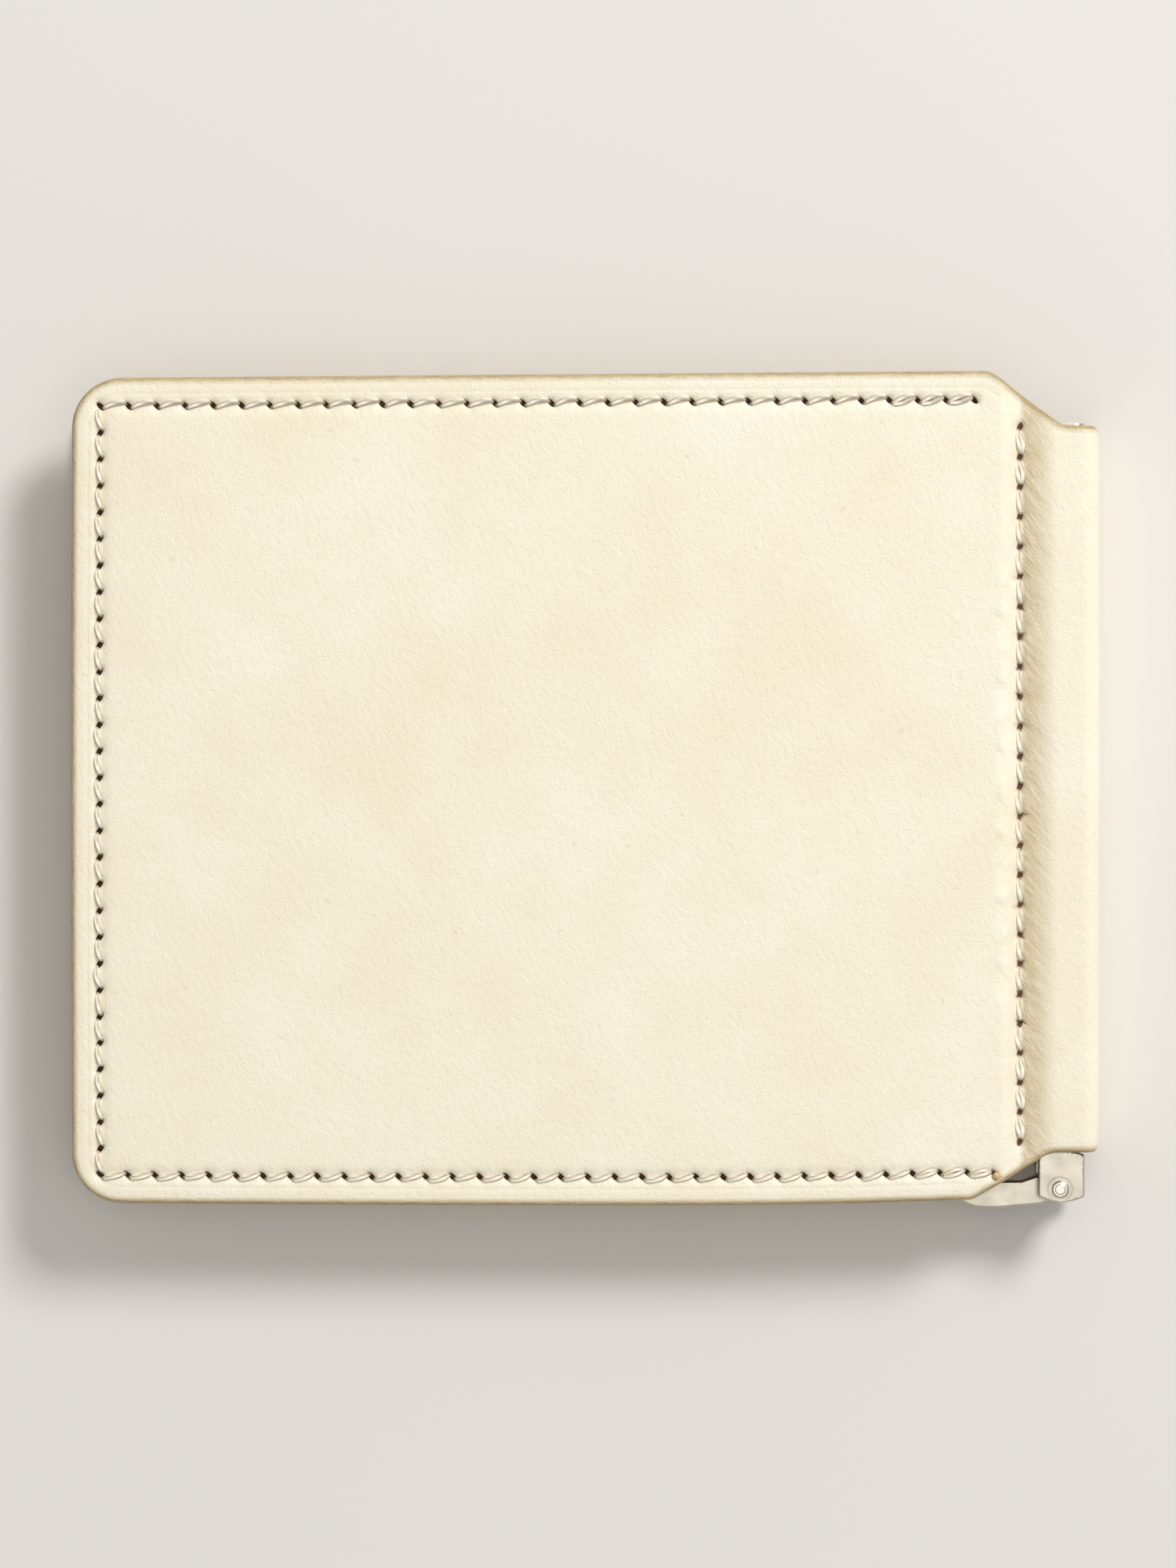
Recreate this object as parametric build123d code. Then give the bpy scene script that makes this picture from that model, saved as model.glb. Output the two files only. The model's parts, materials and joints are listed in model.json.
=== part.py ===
"""Bifold leather wallet with a sprung money clip, stored closed and lying on its back panel.

Every size is in millimetres. The pieces are drawn in a working frame: x = 0 at the spine seams and
growing towards the fold, y = 0 at the middle of the panels' height, z = 0 half way between the two
panels. They are written out in the part's own frame: origin at the centre of the base of the
bounding box, +X towards the fold, +Y towards the top edge, +Z up.

The front half is drawn on the +z side, and the back half is its mirror image.
"""
from build123d import *
import os

# Panels
PANEL_WIDTH = 99.9          # free edge to the spine seam
PANEL_HEIGHT = 87.2
PANEL_CORNER = 5.2
COVER = 1.4                 # outer leather
LINING = 0.4
POCKET = 0.5                # leather of one card pocket
INNER_GAP = 4.6             # between the two lower card pockets, closed
INNER_REACH = 1.6           # inner layers run this far past the spine seam

# Card pockets: height of each top edge above the panel's bottom
LOWER_POCKET = 38.0
MIDDLE_POCKET = 50.0
UPPER_POCKET = 62.0

# Spine tunnel
SPINE_REACH = 8.5           # spine seam to the outer face of the spine
TUNNEL_DROP = 0.5           # the tunnel's faces lie this far below the panels'
TUNNEL_TOP = 5.1            # the tunnel's mouth below the panels' top edge
TUNNEL_BOTTOM = 5.9         # the tunnel's end above the panels' bottom edge
TOP_CUT = (-3.3, 4.6)       # where the slanted cut at the top starts and ends
BOTTOM_CUT = (-5.1, 3.1)
CUT_CORNER = 2.0
SPINE_CORNER = 1.8
FOLD_X = 3.0                # line about which each panel folds
FOLD_CLEARANCE = 0.1

# Liner strip
LINER = 0.4
LINER_X = 2.0
LINER_WING = 4.0            # from the spine seam into the panel
LINER_CLEARANCE = 0.1

# Seams
SEAM_INSET = 3.0
TOP_SEAM_END = 4.9          # last hole short of the spine seam
BOTTOM_SEAM_END = 2.8
TOP_HOLES = 32
SIDE_HOLES = 30
BOTTOM_HOLES = 34
SPINE_SEAM_TOP = 5.6        # last hole below the panels' top edge
SPINE_SEAM_BOTTOM = 6.6
SPINE_HOLES = 25
THREAD_WIDTH = 0.5
THREAD_DEPTH = 0.3
GROOVE_WIDTH = 0.9
GROOVE_DEPTH = 0.35
KNOT_DEPTH = 0.2            # thread standing on the inner face
SLIT_LENGTH = 1.1
SLIT_WIDTH = 0.5
SLIT_ANGLE = 45.0
SLIT_CLEARANCE = 0.06

# Rail in the tunnel
SHEET = 0.9
RAIL_CLEARANCE = 0.4        # to the leather on either side
RAIL_BACK_CLEARANCE = 0.2   # to the leather behind the web
RAIL_DEPTH = 4.0            # over the flanges
RAIL_BEND = 1.0
INNER_BEND_SHARE = 0.25     # a folded channel's inner radius over its outer one
RAIL_PROUD = 0.3            # out of the tunnel's mouth
LUG_WIDTH = 4.9
LUG_GAP = 0.4               # between the tunnel's end and the lugs
LUG_NECK = 2.4              # strip that joins each lug to its flange
LUG_ARCH = 0.6
PIVOT_HEIGHT = 1.6          # above the panels' bottom edge
PIVOT_EDGE = 1.4            # rivet's centre to the lug's end

# Rivets and leaf spring
RIVET_RADIUS = 0.6
RIVET_HEAD = 0.88
RIVET_HEIGHT = 0.4
RIVET_ROUND = 0.24          # edge of each head
RUNNING_CLEARANCE = 0.05
RIVET_FIT = 0.01
SPRING_SHEET = 0.3
SPRING_WIDTH = 3.2
SPRING_LENGTH = 19.0
SPRING_CLEARANCE = 0.1      # to the arm's barrel
SPRING_RIVET_PITCH = 4.0
SPRING_RIVET_RADIUS = 0.5
SPRING_RIVET_HEAD = 0.9

# Clip arm
ARM_SHEET = 0.6
ARM_DEPTH = 3.4             # over the two flanges
ARM_WIDTH = 3.3
ARM_X = -8.0                # outer side of the long bar
ARM_TOP = 7.1               # tip below the panels' top edge
TIP_CLEARANCE = 0.4         # tip to the liner strip
HEEL_DROP = 0.5             # heel below the panels' bottom edge
HEEL_CORNER = 4.4
TIP_CORNER = 3.0
TIP_ROUND = 1.0
BARREL_RADIUS = 1.3
HEEL_STEP = 0.825           # top of the heel above the rivet's centre
WEB_END = -2.2              # the closed side of the heel stops here
ARM_EDGE = 0.25

OVERCUT = 1.0               # how far a cutting shape reaches past the face it opens

# Levels and places that follow from the sizes above
INNER_FACE = INNER_GAP / 2
LINING_FACE = INNER_FACE + 3 * POCKET
COVER_FACE = LINING_FACE + LINING
PANEL_FACE = COVER_FACE + COVER
TUNNEL_FACE = PANEL_FACE - TUNNEL_DROP
TUNNEL_INSIDE = TUNNEL_FACE - COVER
PANEL_TOP = PANEL_HEIGHT / 2
PANEL_BOTTOM = -PANEL_HEIGHT / 2
MOUTH = PANEL_TOP - TUNNEL_TOP
TUNNEL_END = PANEL_BOTTOM + TUNNEL_BOTTOM
RAIL_BACK = SPINE_REACH - COVER - RAIL_BACK_CLEARANCE
RAIL_FACE = TUNNEL_INSIDE - RAIL_CLEARANCE
RAIL_INSIDE = RAIL_FACE - SHEET
SPRING_FACE = RAIL_BACK - SHEET - SPRING_SHEET
PIVOT_X = SPRING_FACE - SPRING_CLEARANCE - BARREL_RADIUS
PIVOT_Y = PANEL_BOTTOM + PIVOT_HEIGHT
LUG_TOP = TUNNEL_END - LUG_GAP
HOME = Location((
    (PANEL_WIDTH - SPINE_REACH) / 2,
    HEEL_DROP / 2,
    PANEL_FACE,
))


def block(x, y, z):
    """A box between two limits along each axis."""
    size = [high - low for low, high in (x, y, z)]
    return Pos(x[0], y[0], z[0]) * Box(*size, align=(Align.MIN, Align.MIN, Align.MIN))


def prism(corners, z):
    """An outline of (x, y, corner radius) points, raised between two levels."""
    points = [(x, y) for x, y, radius in corners]
    radii = [radius for x, y, radius in corners]
    outline = make_face(FilletPolyline(*points, radius=radii, close=True))
    return Pos(0, 0, z[0]) * extrude(outline, z[1] - z[0], dir=(0, 0, 1))


def disc(x, y, radius, z):
    """A cylinder along z between two levels."""
    return Pos(x, y, z[0]) * Cylinder(radius, z[1] - z[0], align=(Align.CENTER, Align.CENTER, Align.MIN))


def outline_prism():
    """Everything inside the outline of the outer leather, with its slanted cuts at the spine."""
    corners = [
        (-PANEL_WIDTH, PANEL_TOP, PANEL_CORNER),
        (TOP_CUT[0], PANEL_TOP, CUT_CORNER),
        (TOP_CUT[1], MOUTH, CUT_CORNER),
        (SPINE_REACH, MOUTH, 0),
        (SPINE_REACH, TUNNEL_END, 0),
        (BOTTOM_CUT[1], TUNNEL_END, CUT_CORNER),
        (BOTTOM_CUT[0], PANEL_BOTTOM, CUT_CORNER),
        (-PANEL_WIDTH, PANEL_BOTTOM, PANEL_CORNER),
    ]
    return prism(corners, (-PANEL_FACE, PANEL_FACE))


def layer(x, y, z):
    """One flat leather layer of the front half, trimmed to the outline."""
    return block(x, y, z) & outline_prism()


def pocket(height, level):
    """A card pocket: a sheet sewn in on three sides, with its top edge free."""
    return layer((-PANEL_WIDTH, INNER_REACH), (PANEL_BOTTOM, PANEL_BOTTOM + height), (level, level + POCKET))


def inner_levels():
    """The innermost face met by the seams: (bottom, top, level) for each step, from the bottom up."""
    tops = [PANEL_BOTTOM + height for height in (LOWER_POCKET, MIDDLE_POCKET, UPPER_POCKET)]
    edges = [PANEL_BOTTOM, *tops, PANEL_TOP]
    return [(edges[step], edges[step + 1], INNER_FACE + step * POCKET) for step in range(len(edges) - 1)]


def inner_level(y):
    """The level of the innermost face at one height."""
    return [level for low, high, level in inner_levels() if low <= y < high][0]


def spaced(start, stop, count):
    """Evenly spaced values with both ends included."""
    return [start + (stop - start) * index / (count - 1) for index in range(count)]


def perimeter_holes():
    """Centres of the awl slits along the top, the free edge and the bottom of a panel."""
    side_x = SEAM_INSET - PANEL_WIDTH
    top_y = PANEL_TOP - SEAM_INSET
    bottom_y = PANEL_BOTTOM + SEAM_INSET
    top = [(x, top_y) for x in spaced(side_x, -TOP_SEAM_END, TOP_HOLES)]
    side = [(side_x, y) for y in spaced(bottom_y, top_y, SIDE_HOLES)[1:-1]]
    bottom = [(x, bottom_y) for x in spaced(side_x, -BOTTOM_SEAM_END, BOTTOM_HOLES)]
    return top + side + bottom


def spine_holes():
    """Centres of the awl slits of the seam beside the spine tunnel."""
    heights = spaced(PANEL_BOTTOM + SPINE_SEAM_BOTTOM, PANEL_TOP - SPINE_SEAM_TOP, SPINE_HOLES)
    return [(0, y) for y in heights]


def slits(holes, clearance, z):
    """Slanted diamond slits, or with a clearance the thread that fills them."""
    half_length = SLIT_LENGTH / 2 - clearance
    half_width = SLIT_WIDTH / 2 - clearance
    diamond = make_face(Polyline(
        (half_length, 0), (0, half_width), (-half_length, 0), (0, -half_width), close=True
    ))
    raised = extrude(Rot(0, 0, SLIT_ANGLE) * diamond, z[1] - z[0], dir=(0, 0, 1))
    return [Pos(x, y, z[0]) * raised for x, y in holes]


def along_x(x, y, width, z):
    """A strip along x, centred on a height."""
    return block(x, (y - width / 2, y + width / 2), z)


def along_y(x, y, width, z):
    """A strip along y, centred on an x."""
    return block((x - width / 2, x + width / 2), y, z)


def inner_strand_along_y(x, y):
    """Thread on the inner face along y, stepping down over the edge of each pocket."""
    strips = []
    for low, high, level in inner_levels():
        start, stop = max(low, y[0]), min(high, y[1])
        strips.append(along_y(x, (start, stop), THREAD_WIDTH, (level - KNOT_DEPTH, level)))
        if high < y[1]:
            step = (high, high + KNOT_DEPTH)
            strips.append(along_y(x, step, THREAD_WIDTH, (level - KNOT_DEPTH, level + POCKET)))
    return strips


def thread(holes, outer, inner):
    """A saddle stitch: a strand on each face, joined by the thread in every slit."""
    top = PANEL_FACE - GROOVE_DEPTH + THREAD_DEPTH
    legs = []
    for low, high, level in inner_levels():
        here = [hole for hole in holes if low <= hole[1] < high]
        legs += slits(here, SLIT_CLEARANCE, (level - KNOT_DEPTH, top))
    return outer[0].fuse(*outer[1:], *inner, *legs)


def perimeter_thread():
    """The seam round three sides of the front panel."""
    side_x = SEAM_INSET - PANEL_WIDTH
    top_y = PANEL_TOP - SEAM_INSET
    bottom_y = PANEL_BOTTOM + SEAM_INSET
    floor = PANEL_FACE - GROOVE_DEPTH
    groove = (floor, floor + THREAD_DEPTH)
    half = THREAD_WIDTH / 2
    outer = [
        along_x((side_x - half, -TOP_SEAM_END), top_y, THREAD_WIDTH, groove),
        along_y(side_x, (bottom_y, top_y), THREAD_WIDTH, groove),
        along_x((side_x - half, -BOTTOM_SEAM_END), bottom_y, THREAD_WIDTH, groove),
    ]
    top_level = inner_level(top_y)
    bottom_level = inner_level(bottom_y)
    inner = [
        along_x((side_x - half, -TOP_SEAM_END), top_y, THREAD_WIDTH, (top_level - KNOT_DEPTH, top_level)),
        *inner_strand_along_y(side_x, (bottom_y, top_y)),
        along_x((side_x - half, -BOTTOM_SEAM_END), bottom_y, THREAD_WIDTH,
                (bottom_level - KNOT_DEPTH, bottom_level)),
    ]
    return thread(perimeter_holes(), outer, inner)


def spine_thread():
    """The seam of the front panel beside the tunnel."""
    heights = (spine_holes()[0][1], spine_holes()[-1][1])
    floor = PANEL_FACE - GROOVE_DEPTH
    outer = [along_y(0, heights, THREAD_WIDTH, (floor, floor + THREAD_DEPTH))]
    return thread(spine_holes(), outer, inner_strand_along_y(0, heights))


def seam_cuts():
    """Grooves in the outer face and the slits through every layer of the front half."""
    side_x = SEAM_INSET - PANEL_WIDTH
    top_y = PANEL_TOP - SEAM_INSET
    bottom_y = PANEL_BOTTOM + SEAM_INSET
    groove = (PANEL_FACE - GROOVE_DEPTH, PANEL_FACE)
    half = GROOVE_WIDTH / 2
    heights = (spine_holes()[0][1] - half, spine_holes()[-1][1] + half)
    grooves = [
        along_x((side_x - half, half - TOP_SEAM_END), top_y, GROOVE_WIDTH, groove),
        along_y(side_x, (bottom_y, top_y), GROOVE_WIDTH, groove),
        along_x((side_x - half, half - BOTTOM_SEAM_END), bottom_y, GROOVE_WIDTH, groove),
        along_y(0, heights, GROOVE_WIDTH, groove),
    ]
    return grooves, slits(perimeter_holes() + spine_holes(), 0, (0, PANEL_FACE))


def front_half():
    """The pieces that move with the front panel."""
    grooves, slit_tools = seam_cuts()
    full_x = (-PANEL_WIDTH, INNER_REACH)
    full_y = (PANEL_BOTTOM, PANEL_TOP)
    wing_z = (COVER_FACE, COVER_FACE + LINER)
    wing_x = (-LINER_WING, LINER_X - LINER_CLEARANCE)
    skive = block((-LINER_WING, FOLD_X), full_y, wing_z)
    cover = layer((-PANEL_WIDTH, FOLD_X - FOLD_CLEARANCE), full_y, (COVER_FACE, PANEL_FACE))
    layers = {
        "cover": (cover - skive) - grooves,
        "lining": layer(full_x, full_y, (LINING_FACE, COVER_FACE)),
        "upper_pocket": pocket(UPPER_POCKET, INNER_FACE + 2 * POCKET),
        "middle_pocket": pocket(MIDDLE_POCKET, INNER_FACE + POCKET),
        "lower_pocket": pocket(LOWER_POCKET, INNER_FACE),
        "liner_wing": layer(wing_x, (TUNNEL_END, MOUTH), wing_z),
    }
    pieces = {name: solid.cut(*slit_tools) for name, solid in layers.items()}
    pieces["perimeter_thread"] = perimeter_thread()
    pieces["spine_thread"] = spine_thread()
    return pieces


def channel(x, half_width, wall, bend):
    """A channel section open towards -x, as a face across the spine."""
    outer = make_face(FilletPolyline(
        (x[0], -half_width), (x[1], -half_width), (x[1], half_width), (x[0], half_width),
        radius=[0, bend, bend, 0], close=True
    ))
    inside = half_width - wall
    inner = make_face(FilletPolyline(
        (x[0] - OVERCUT, -inside), (x[1] - wall, -inside), (x[1] - wall, inside), (x[0] - OVERCUT, inside),
        radius=[0, bend * INNER_BEND_SHARE, bend * INNER_BEND_SHARE, 0], close=True
    ))
    return outer - inner


def along_spine(section, y):
    """A section in x and z, drawn out along the spine."""
    return Pos(0, y[1], 0) * extrude(Rot(90, 0, 0) * section, y[1] - y[0], dir=(0, -1, 0))


def spine_cover():
    """The outer leather round the tunnel."""
    section = channel((FOLD_X + FOLD_CLEARANCE, SPINE_REACH), TUNNEL_FACE, COVER, SPINE_CORNER)
    return along_spine(section, (PANEL_BOTTOM, PANEL_TOP)) & outline_prism()


def spine_liner():
    """The strip that closes the tunnel from inside the wallet."""
    reach = COVER_FACE - LINER_CLEARANCE
    return block((LINER_X, LINER_X + LINER), (TUNNEL_END, MOUTH), (-reach, reach))


def lug():
    """The front lug of the rail, with its arched ends and the neck that joins it to the flange."""
    end_y = PIVOT_Y - PIVOT_EDGE
    left_x = RAIL_BACK - LUG_WIDTH
    middle_x = RAIL_BACK - LUG_WIDTH / 2
    outline = make_face([
        ThreePointArc((left_x, end_y + LUG_ARCH), (middle_x, end_y), (RAIL_BACK, end_y + LUG_ARCH)),
        Line((RAIL_BACK, end_y + LUG_ARCH), (RAIL_BACK, LUG_TOP - LUG_ARCH)),
        ThreePointArc((RAIL_BACK, LUG_TOP - LUG_ARCH), (middle_x, LUG_TOP), (left_x, LUG_TOP - LUG_ARCH)),
        Line((left_x, LUG_TOP - LUG_ARCH), (left_x, end_y + LUG_ARCH)),
    ])
    neck_x = (middle_x - LUG_NECK / 2, middle_x + LUG_NECK / 2)
    neck = block(neck_x, (LUG_TOP - LUG_ARCH, TUNNEL_END), (RAIL_INSIDE, RAIL_FACE))
    return Pos(0, 0, RAIL_INSIDE) * extrude(outline, SHEET, dir=(0, 0, 1)) + neck


def spring_rivet_places():
    """Heights of the two rivets that hold the leaf spring."""
    low = PIVOT_Y + SPRING_LENGTH - 2 * SPRING_RIVET_PITCH
    return [low, low + SPRING_RIVET_PITCH]


def across_web(y, radius, x):
    """A cylinder along x through the rail's web."""
    turned = Rot(0, 90, 0) * Cylinder(radius, x[1] - x[0], align=(Align.CENTER, Align.CENTER, Align.MIN))
    return Pos(x[0], y, 0) * turned


def spine_rail():
    """The folded channel in the tunnel, with two lugs for the rivet."""
    section = channel((RAIL_BACK - RAIL_DEPTH, RAIL_BACK), RAIL_FACE, SHEET, RAIL_BEND)
    rail = along_spine(section, (TUNNEL_END, MOUTH + RAIL_PROUD))
    rail = rail + lug() + mirror(lug(), about=Plane.XY)
    rail -= disc(PIVOT_X, PIVOT_Y, RIVET_RADIUS + RIVET_FIT, (-RAIL_FACE, RAIL_FACE))
    for y in spring_rivet_places():
        rail -= across_web(y, SPRING_RIVET_RADIUS + RIVET_FIT, (RAIL_BACK - SHEET, RAIL_BACK))
    return rail


def pivot_rivet():
    """The arm's pivot, with a domed head on each lug."""
    rivet = disc(PIVOT_X, PIVOT_Y, RIVET_RADIUS, (-RAIL_FACE, RAIL_FACE))
    head = disc(PIVOT_X, PIVOT_Y, RIVET_HEAD, (RAIL_FACE, RAIL_FACE + RIVET_HEIGHT))
    head = fillet(head.edges().group_by(Axis.Z)[-1], RIVET_ROUND)
    return rivet + head + mirror(head, about=Plane.XY)


def leaf_spring():
    """The blade on the rail's web that presses on the arm's barrel."""
    y = (PIVOT_Y - BARREL_RADIUS / 2, PIVOT_Y + SPRING_LENGTH)
    blade = block((SPRING_FACE, SPRING_FACE + SPRING_SHEET), y, (-SPRING_WIDTH / 2, SPRING_WIDTH / 2))
    for place in spring_rivet_places():
        blade -= across_web(place, SPRING_RIVET_RADIUS + RIVET_FIT, (SPRING_FACE, SPRING_FACE + SPRING_SHEET))
    return blade


def spring_rivets():
    """Two rivets through the leaf spring and the web, headed on the spring's side."""
    rivets = []
    for y in spring_rivet_places():
        shank = across_web(y, SPRING_RIVET_RADIUS, (SPRING_FACE, RAIL_BACK))
        rivets.append(shank + across_web(y, SPRING_RIVET_HEAD, (SPRING_FACE - SPRING_SHEET, SPRING_FACE)))
    return Compound(rivets)


def arm_outline(heel_x):
    """The flat shape of the arm: heel, long bar and a tip turned towards the spine."""
    low = PANEL_BOTTOM - HEEL_DROP
    top = PANEL_TOP - ARM_TOP
    tip = LINER_X - TIP_CLEARANCE
    inner_x = ARM_X + ARM_WIDTH
    half = ARM_WIDTH / 2
    return [
        (heel_x, PIVOT_Y - half, 0),
        (WEB_END, low, 0),
        (ARM_X, low, HEEL_CORNER),
        (ARM_X, top, TIP_CORNER),
        (tip, top, TIP_ROUND),
        (tip, top - ARM_WIDTH, TIP_ROUND),
        (inner_x, top - ARM_WIDTH, TIP_ROUND),
        (inner_x, PIVOT_Y + HEEL_STEP, TIP_ROUND),
        ((WEB_END + heel_x) / 2, PIVOT_Y + HEEL_STEP, 0),
        (heel_x, PIVOT_Y + half, 0),
    ]


def arm_hollow(heel_x):
    """The space between the arm's flanges, open towards the spine and open under the heel."""
    low = PANEL_BOTTOM - HEEL_DROP
    top = PANEL_TOP - ARM_TOP - ARM_SHEET
    tip = LINER_X - TIP_CLEARANCE - ARM_SHEET
    outer_x = ARM_X + ARM_SHEET
    inner_x = ARM_X + ARM_WIDTH + OVERCUT
    corners = [
        (heel_x, low - OVERCUT, 0),
        (WEB_END, low - OVERCUT, 0),
        (WEB_END, low + ARM_SHEET, 0),
        (outer_x, low + ARM_SHEET, HEEL_CORNER - ARM_SHEET),
        (outer_x, top, TIP_CORNER - ARM_SHEET),
        (tip, top, TIP_ROUND - ARM_SHEET),
        (tip, top - ARM_WIDTH - OVERCUT, 0),
        (inner_x, top - ARM_WIDTH - OVERCUT, 0),
        (inner_x, PIVOT_Y + ARM_WIDTH, 0),
        (heel_x, PIVOT_Y + ARM_WIDTH, 0),
    ]
    half = ARM_DEPTH / 2 - ARM_SHEET
    return prism(corners, (-half, half))


def clip_arm():
    """The sprung arm, a folded channel with a barrel that turns on the rivet between the lugs."""
    half = ARM_DEPTH / 2
    heel_x = PIVOT_X - BARREL_RADIUS - RAIL_BACK_CLEARANCE
    arm = prism(arm_outline(heel_x), (-half, half))
    arm = chamfer(arm.edges().group_by(Axis.Z)[-1] + arm.edges().group_by(Axis.Z)[0], ARM_EDGE)
    arm -= arm_hollow(heel_x)
    neck = (PIVOT_Y - BARREL_RADIUS, PIVOT_Y + BARREL_RADIUS)
    arm += block((heel_x - ARM_SHEET, PIVOT_X), neck, (-half, half))
    barrel_half = RAIL_INSIDE - RUNNING_CLEARANCE
    arm += disc(PIVOT_X, PIVOT_Y, BARREL_RADIUS, (-barrel_half, barrel_half))
    return arm - disc(PIVOT_X, PIVOT_Y, RIVET_RADIUS + RUNNING_CLEARANCE, (-barrel_half, barrel_half))


def all_pieces():
    """Every piece of the wallet in the working frame, by name."""
    front = front_half()
    pieces = {f"front_{name}": solid for name, solid in front.items()}
    pieces |= {f"back_{name}": mirror(solid, about=Plane.XY) for name, solid in front.items()}
    pieces |= {
        "spine_cover": spine_cover(),
        "spine_liner": spine_liner(),
        "spine_rail": spine_rail(),
        "pivot_rivet": pivot_rivet(),
        "leaf_spring": leaf_spring(),
        "spring_rivets": spring_rivets(),
        "clip_arm": clip_arm(),
    }
    return pieces


os.makedirs("parts", exist_ok=True)
for name, solid in all_pieces().items():
    export_step(solid.moved(HOME), f"parts/{name}.step")
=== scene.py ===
"""Bifold wallet in natural vegetable-tanned leather with a sprung money clip: its visible pieces.

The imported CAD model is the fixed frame. Shapes are worked out in millimetres in a working frame
(x = 0 at the spine seams and growing towards the fold, y along the fold, z = 0 half way between the
two panels) and are put into the row frame, in metres, when they become meshes. The back half is the
mirror image of the front half.
"""
from __future__ import annotations

import json
import logging
import math
from dataclasses import dataclass, field
from enum import Enum
from functools import partial
from typing import Any, Callable

import bpy
import numpy as np
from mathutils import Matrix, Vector
from mathutils.geometry import delaunay_2d_cdt


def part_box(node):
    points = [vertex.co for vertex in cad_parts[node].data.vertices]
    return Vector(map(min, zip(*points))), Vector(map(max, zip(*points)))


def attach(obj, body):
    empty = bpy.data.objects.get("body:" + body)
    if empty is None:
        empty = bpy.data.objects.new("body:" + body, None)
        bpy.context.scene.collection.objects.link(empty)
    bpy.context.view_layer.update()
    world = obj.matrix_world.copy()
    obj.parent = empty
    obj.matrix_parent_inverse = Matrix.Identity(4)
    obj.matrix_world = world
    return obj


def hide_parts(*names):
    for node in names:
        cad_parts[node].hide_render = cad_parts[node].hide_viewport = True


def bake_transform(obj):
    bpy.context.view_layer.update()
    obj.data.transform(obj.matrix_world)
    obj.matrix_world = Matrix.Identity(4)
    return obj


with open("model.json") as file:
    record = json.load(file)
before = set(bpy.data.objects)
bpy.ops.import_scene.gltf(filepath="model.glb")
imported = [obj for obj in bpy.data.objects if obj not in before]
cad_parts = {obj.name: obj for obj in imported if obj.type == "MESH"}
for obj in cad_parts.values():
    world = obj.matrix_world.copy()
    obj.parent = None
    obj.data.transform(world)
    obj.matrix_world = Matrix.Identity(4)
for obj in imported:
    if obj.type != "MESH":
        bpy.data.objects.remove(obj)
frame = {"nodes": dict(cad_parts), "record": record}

MM = 0.001
LOG = logging.getLogger("wallet")
Array = np.ndarray


class Side(Enum):
    """The half of the wallet that a piece belongs to."""

    FRONT = 1
    BACK = -1

    @property
    def word(self) -> str:
        """The half's name as the CAD nodes write it."""
        return self.name.lower()

    @property
    def body(self) -> str:
        """The CAD body of this half's panel."""
        return f"{self.word}_panel"


# ---------------------------------------------------------------- numbers and outlines


def smooth(value: Array, low: float, high: float) -> Array:
    """Rise from 0 to 1 between two values: 3t² - 2t³, with t the clamped share of the way.

    Args:
        value: Where to evaluate it.
        low: The value where it is 0.
        high: The value where it is 1.

    Returns:
        The share, with the shape of value.
    """
    share = np.clip((value - low) / (high - low), 0.0, 1.0)
    return share * share * (3.0 - 2.0 * share)


def bell(distance: Array, width: float) -> Array:
    """A smooth bump: e to the power of minus the square of distance over width."""
    return np.exp(-((distance / width) ** 2))


def rounded_outline(corners: Array, spacing: float) -> Array:
    """A closed outline with round corners, anticlockwise.

    Each corner (x, y, radius) becomes an arc that touches both sides. It starts radius times the
    tangent of half the turn before the corner, and its centre is one radius to the left of there
    (to the right, where the outline turns right). Straight stretches are divided evenly.

    Args:
        corners: One row per corner: x, y and radius.
        spacing: The longest distance between two points.

    Returns:
        The points, one row each.
    """
    points, radius = corners[:, :2], corners[:, 2]
    ahead = np.roll(points, -1, axis=0) - points
    ahead /= np.linalg.norm(ahead, axis=1, keepdims=True)
    before = np.roll(ahead, 1, axis=0)
    turn = np.arctan2(before[:, 0] * ahead[:, 1] - before[:, 1] * ahead[:, 0], (before * ahead).sum(1))
    start = points - before * (radius * np.tan(np.abs(turn) / 2))[:, None]
    inward = np.stack([-before[:, 1], before[:, 0]], 1) * (np.sign(turn) * radius)[:, None]
    centre = start + inward
    angle = np.linspace(0, 1, 13)[None, :] * turn[:, None]
    spoke = -inward[:, None, :]
    cosine, sine = np.cos(angle), np.sin(angle)
    arc = np.stack([
        spoke[..., 0] * cosine - spoke[..., 1] * sine,
        spoke[..., 0] * sine + spoke[..., 1] * cosine,
    ], -1) + centre[:, None, :]
    line = arc.reshape(-1, 2)
    step = np.linalg.norm(np.roll(line, -1, axis=0) - line, axis=1)
    line, step = line[step > 1e-6], step[step > 1e-6]
    count = np.ceil(step / spacing).astype(int)
    index = np.repeat(np.arange(len(line)), count)
    share = np.concatenate([np.arange(c) / c for c in count])
    return line[index] + (np.roll(line, -1, axis=0) - line)[index] * share[:, None]


def outward(outline: Array) -> Array:
    """Unit normals of an anticlockwise outline, square to the chord between each point's neighbours.

    Args:
        outline: The outline's points, in order.

    Returns:
        One normal per point, pointing out of the outline.
    """
    chord = np.roll(outline, -1, axis=0) - np.roll(outline, 1, axis=0)
    chord /= np.linalg.norm(chord, axis=1, keepdims=True)
    return np.stack([chord[:, 1], -chord[:, 0]], 1)


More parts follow.
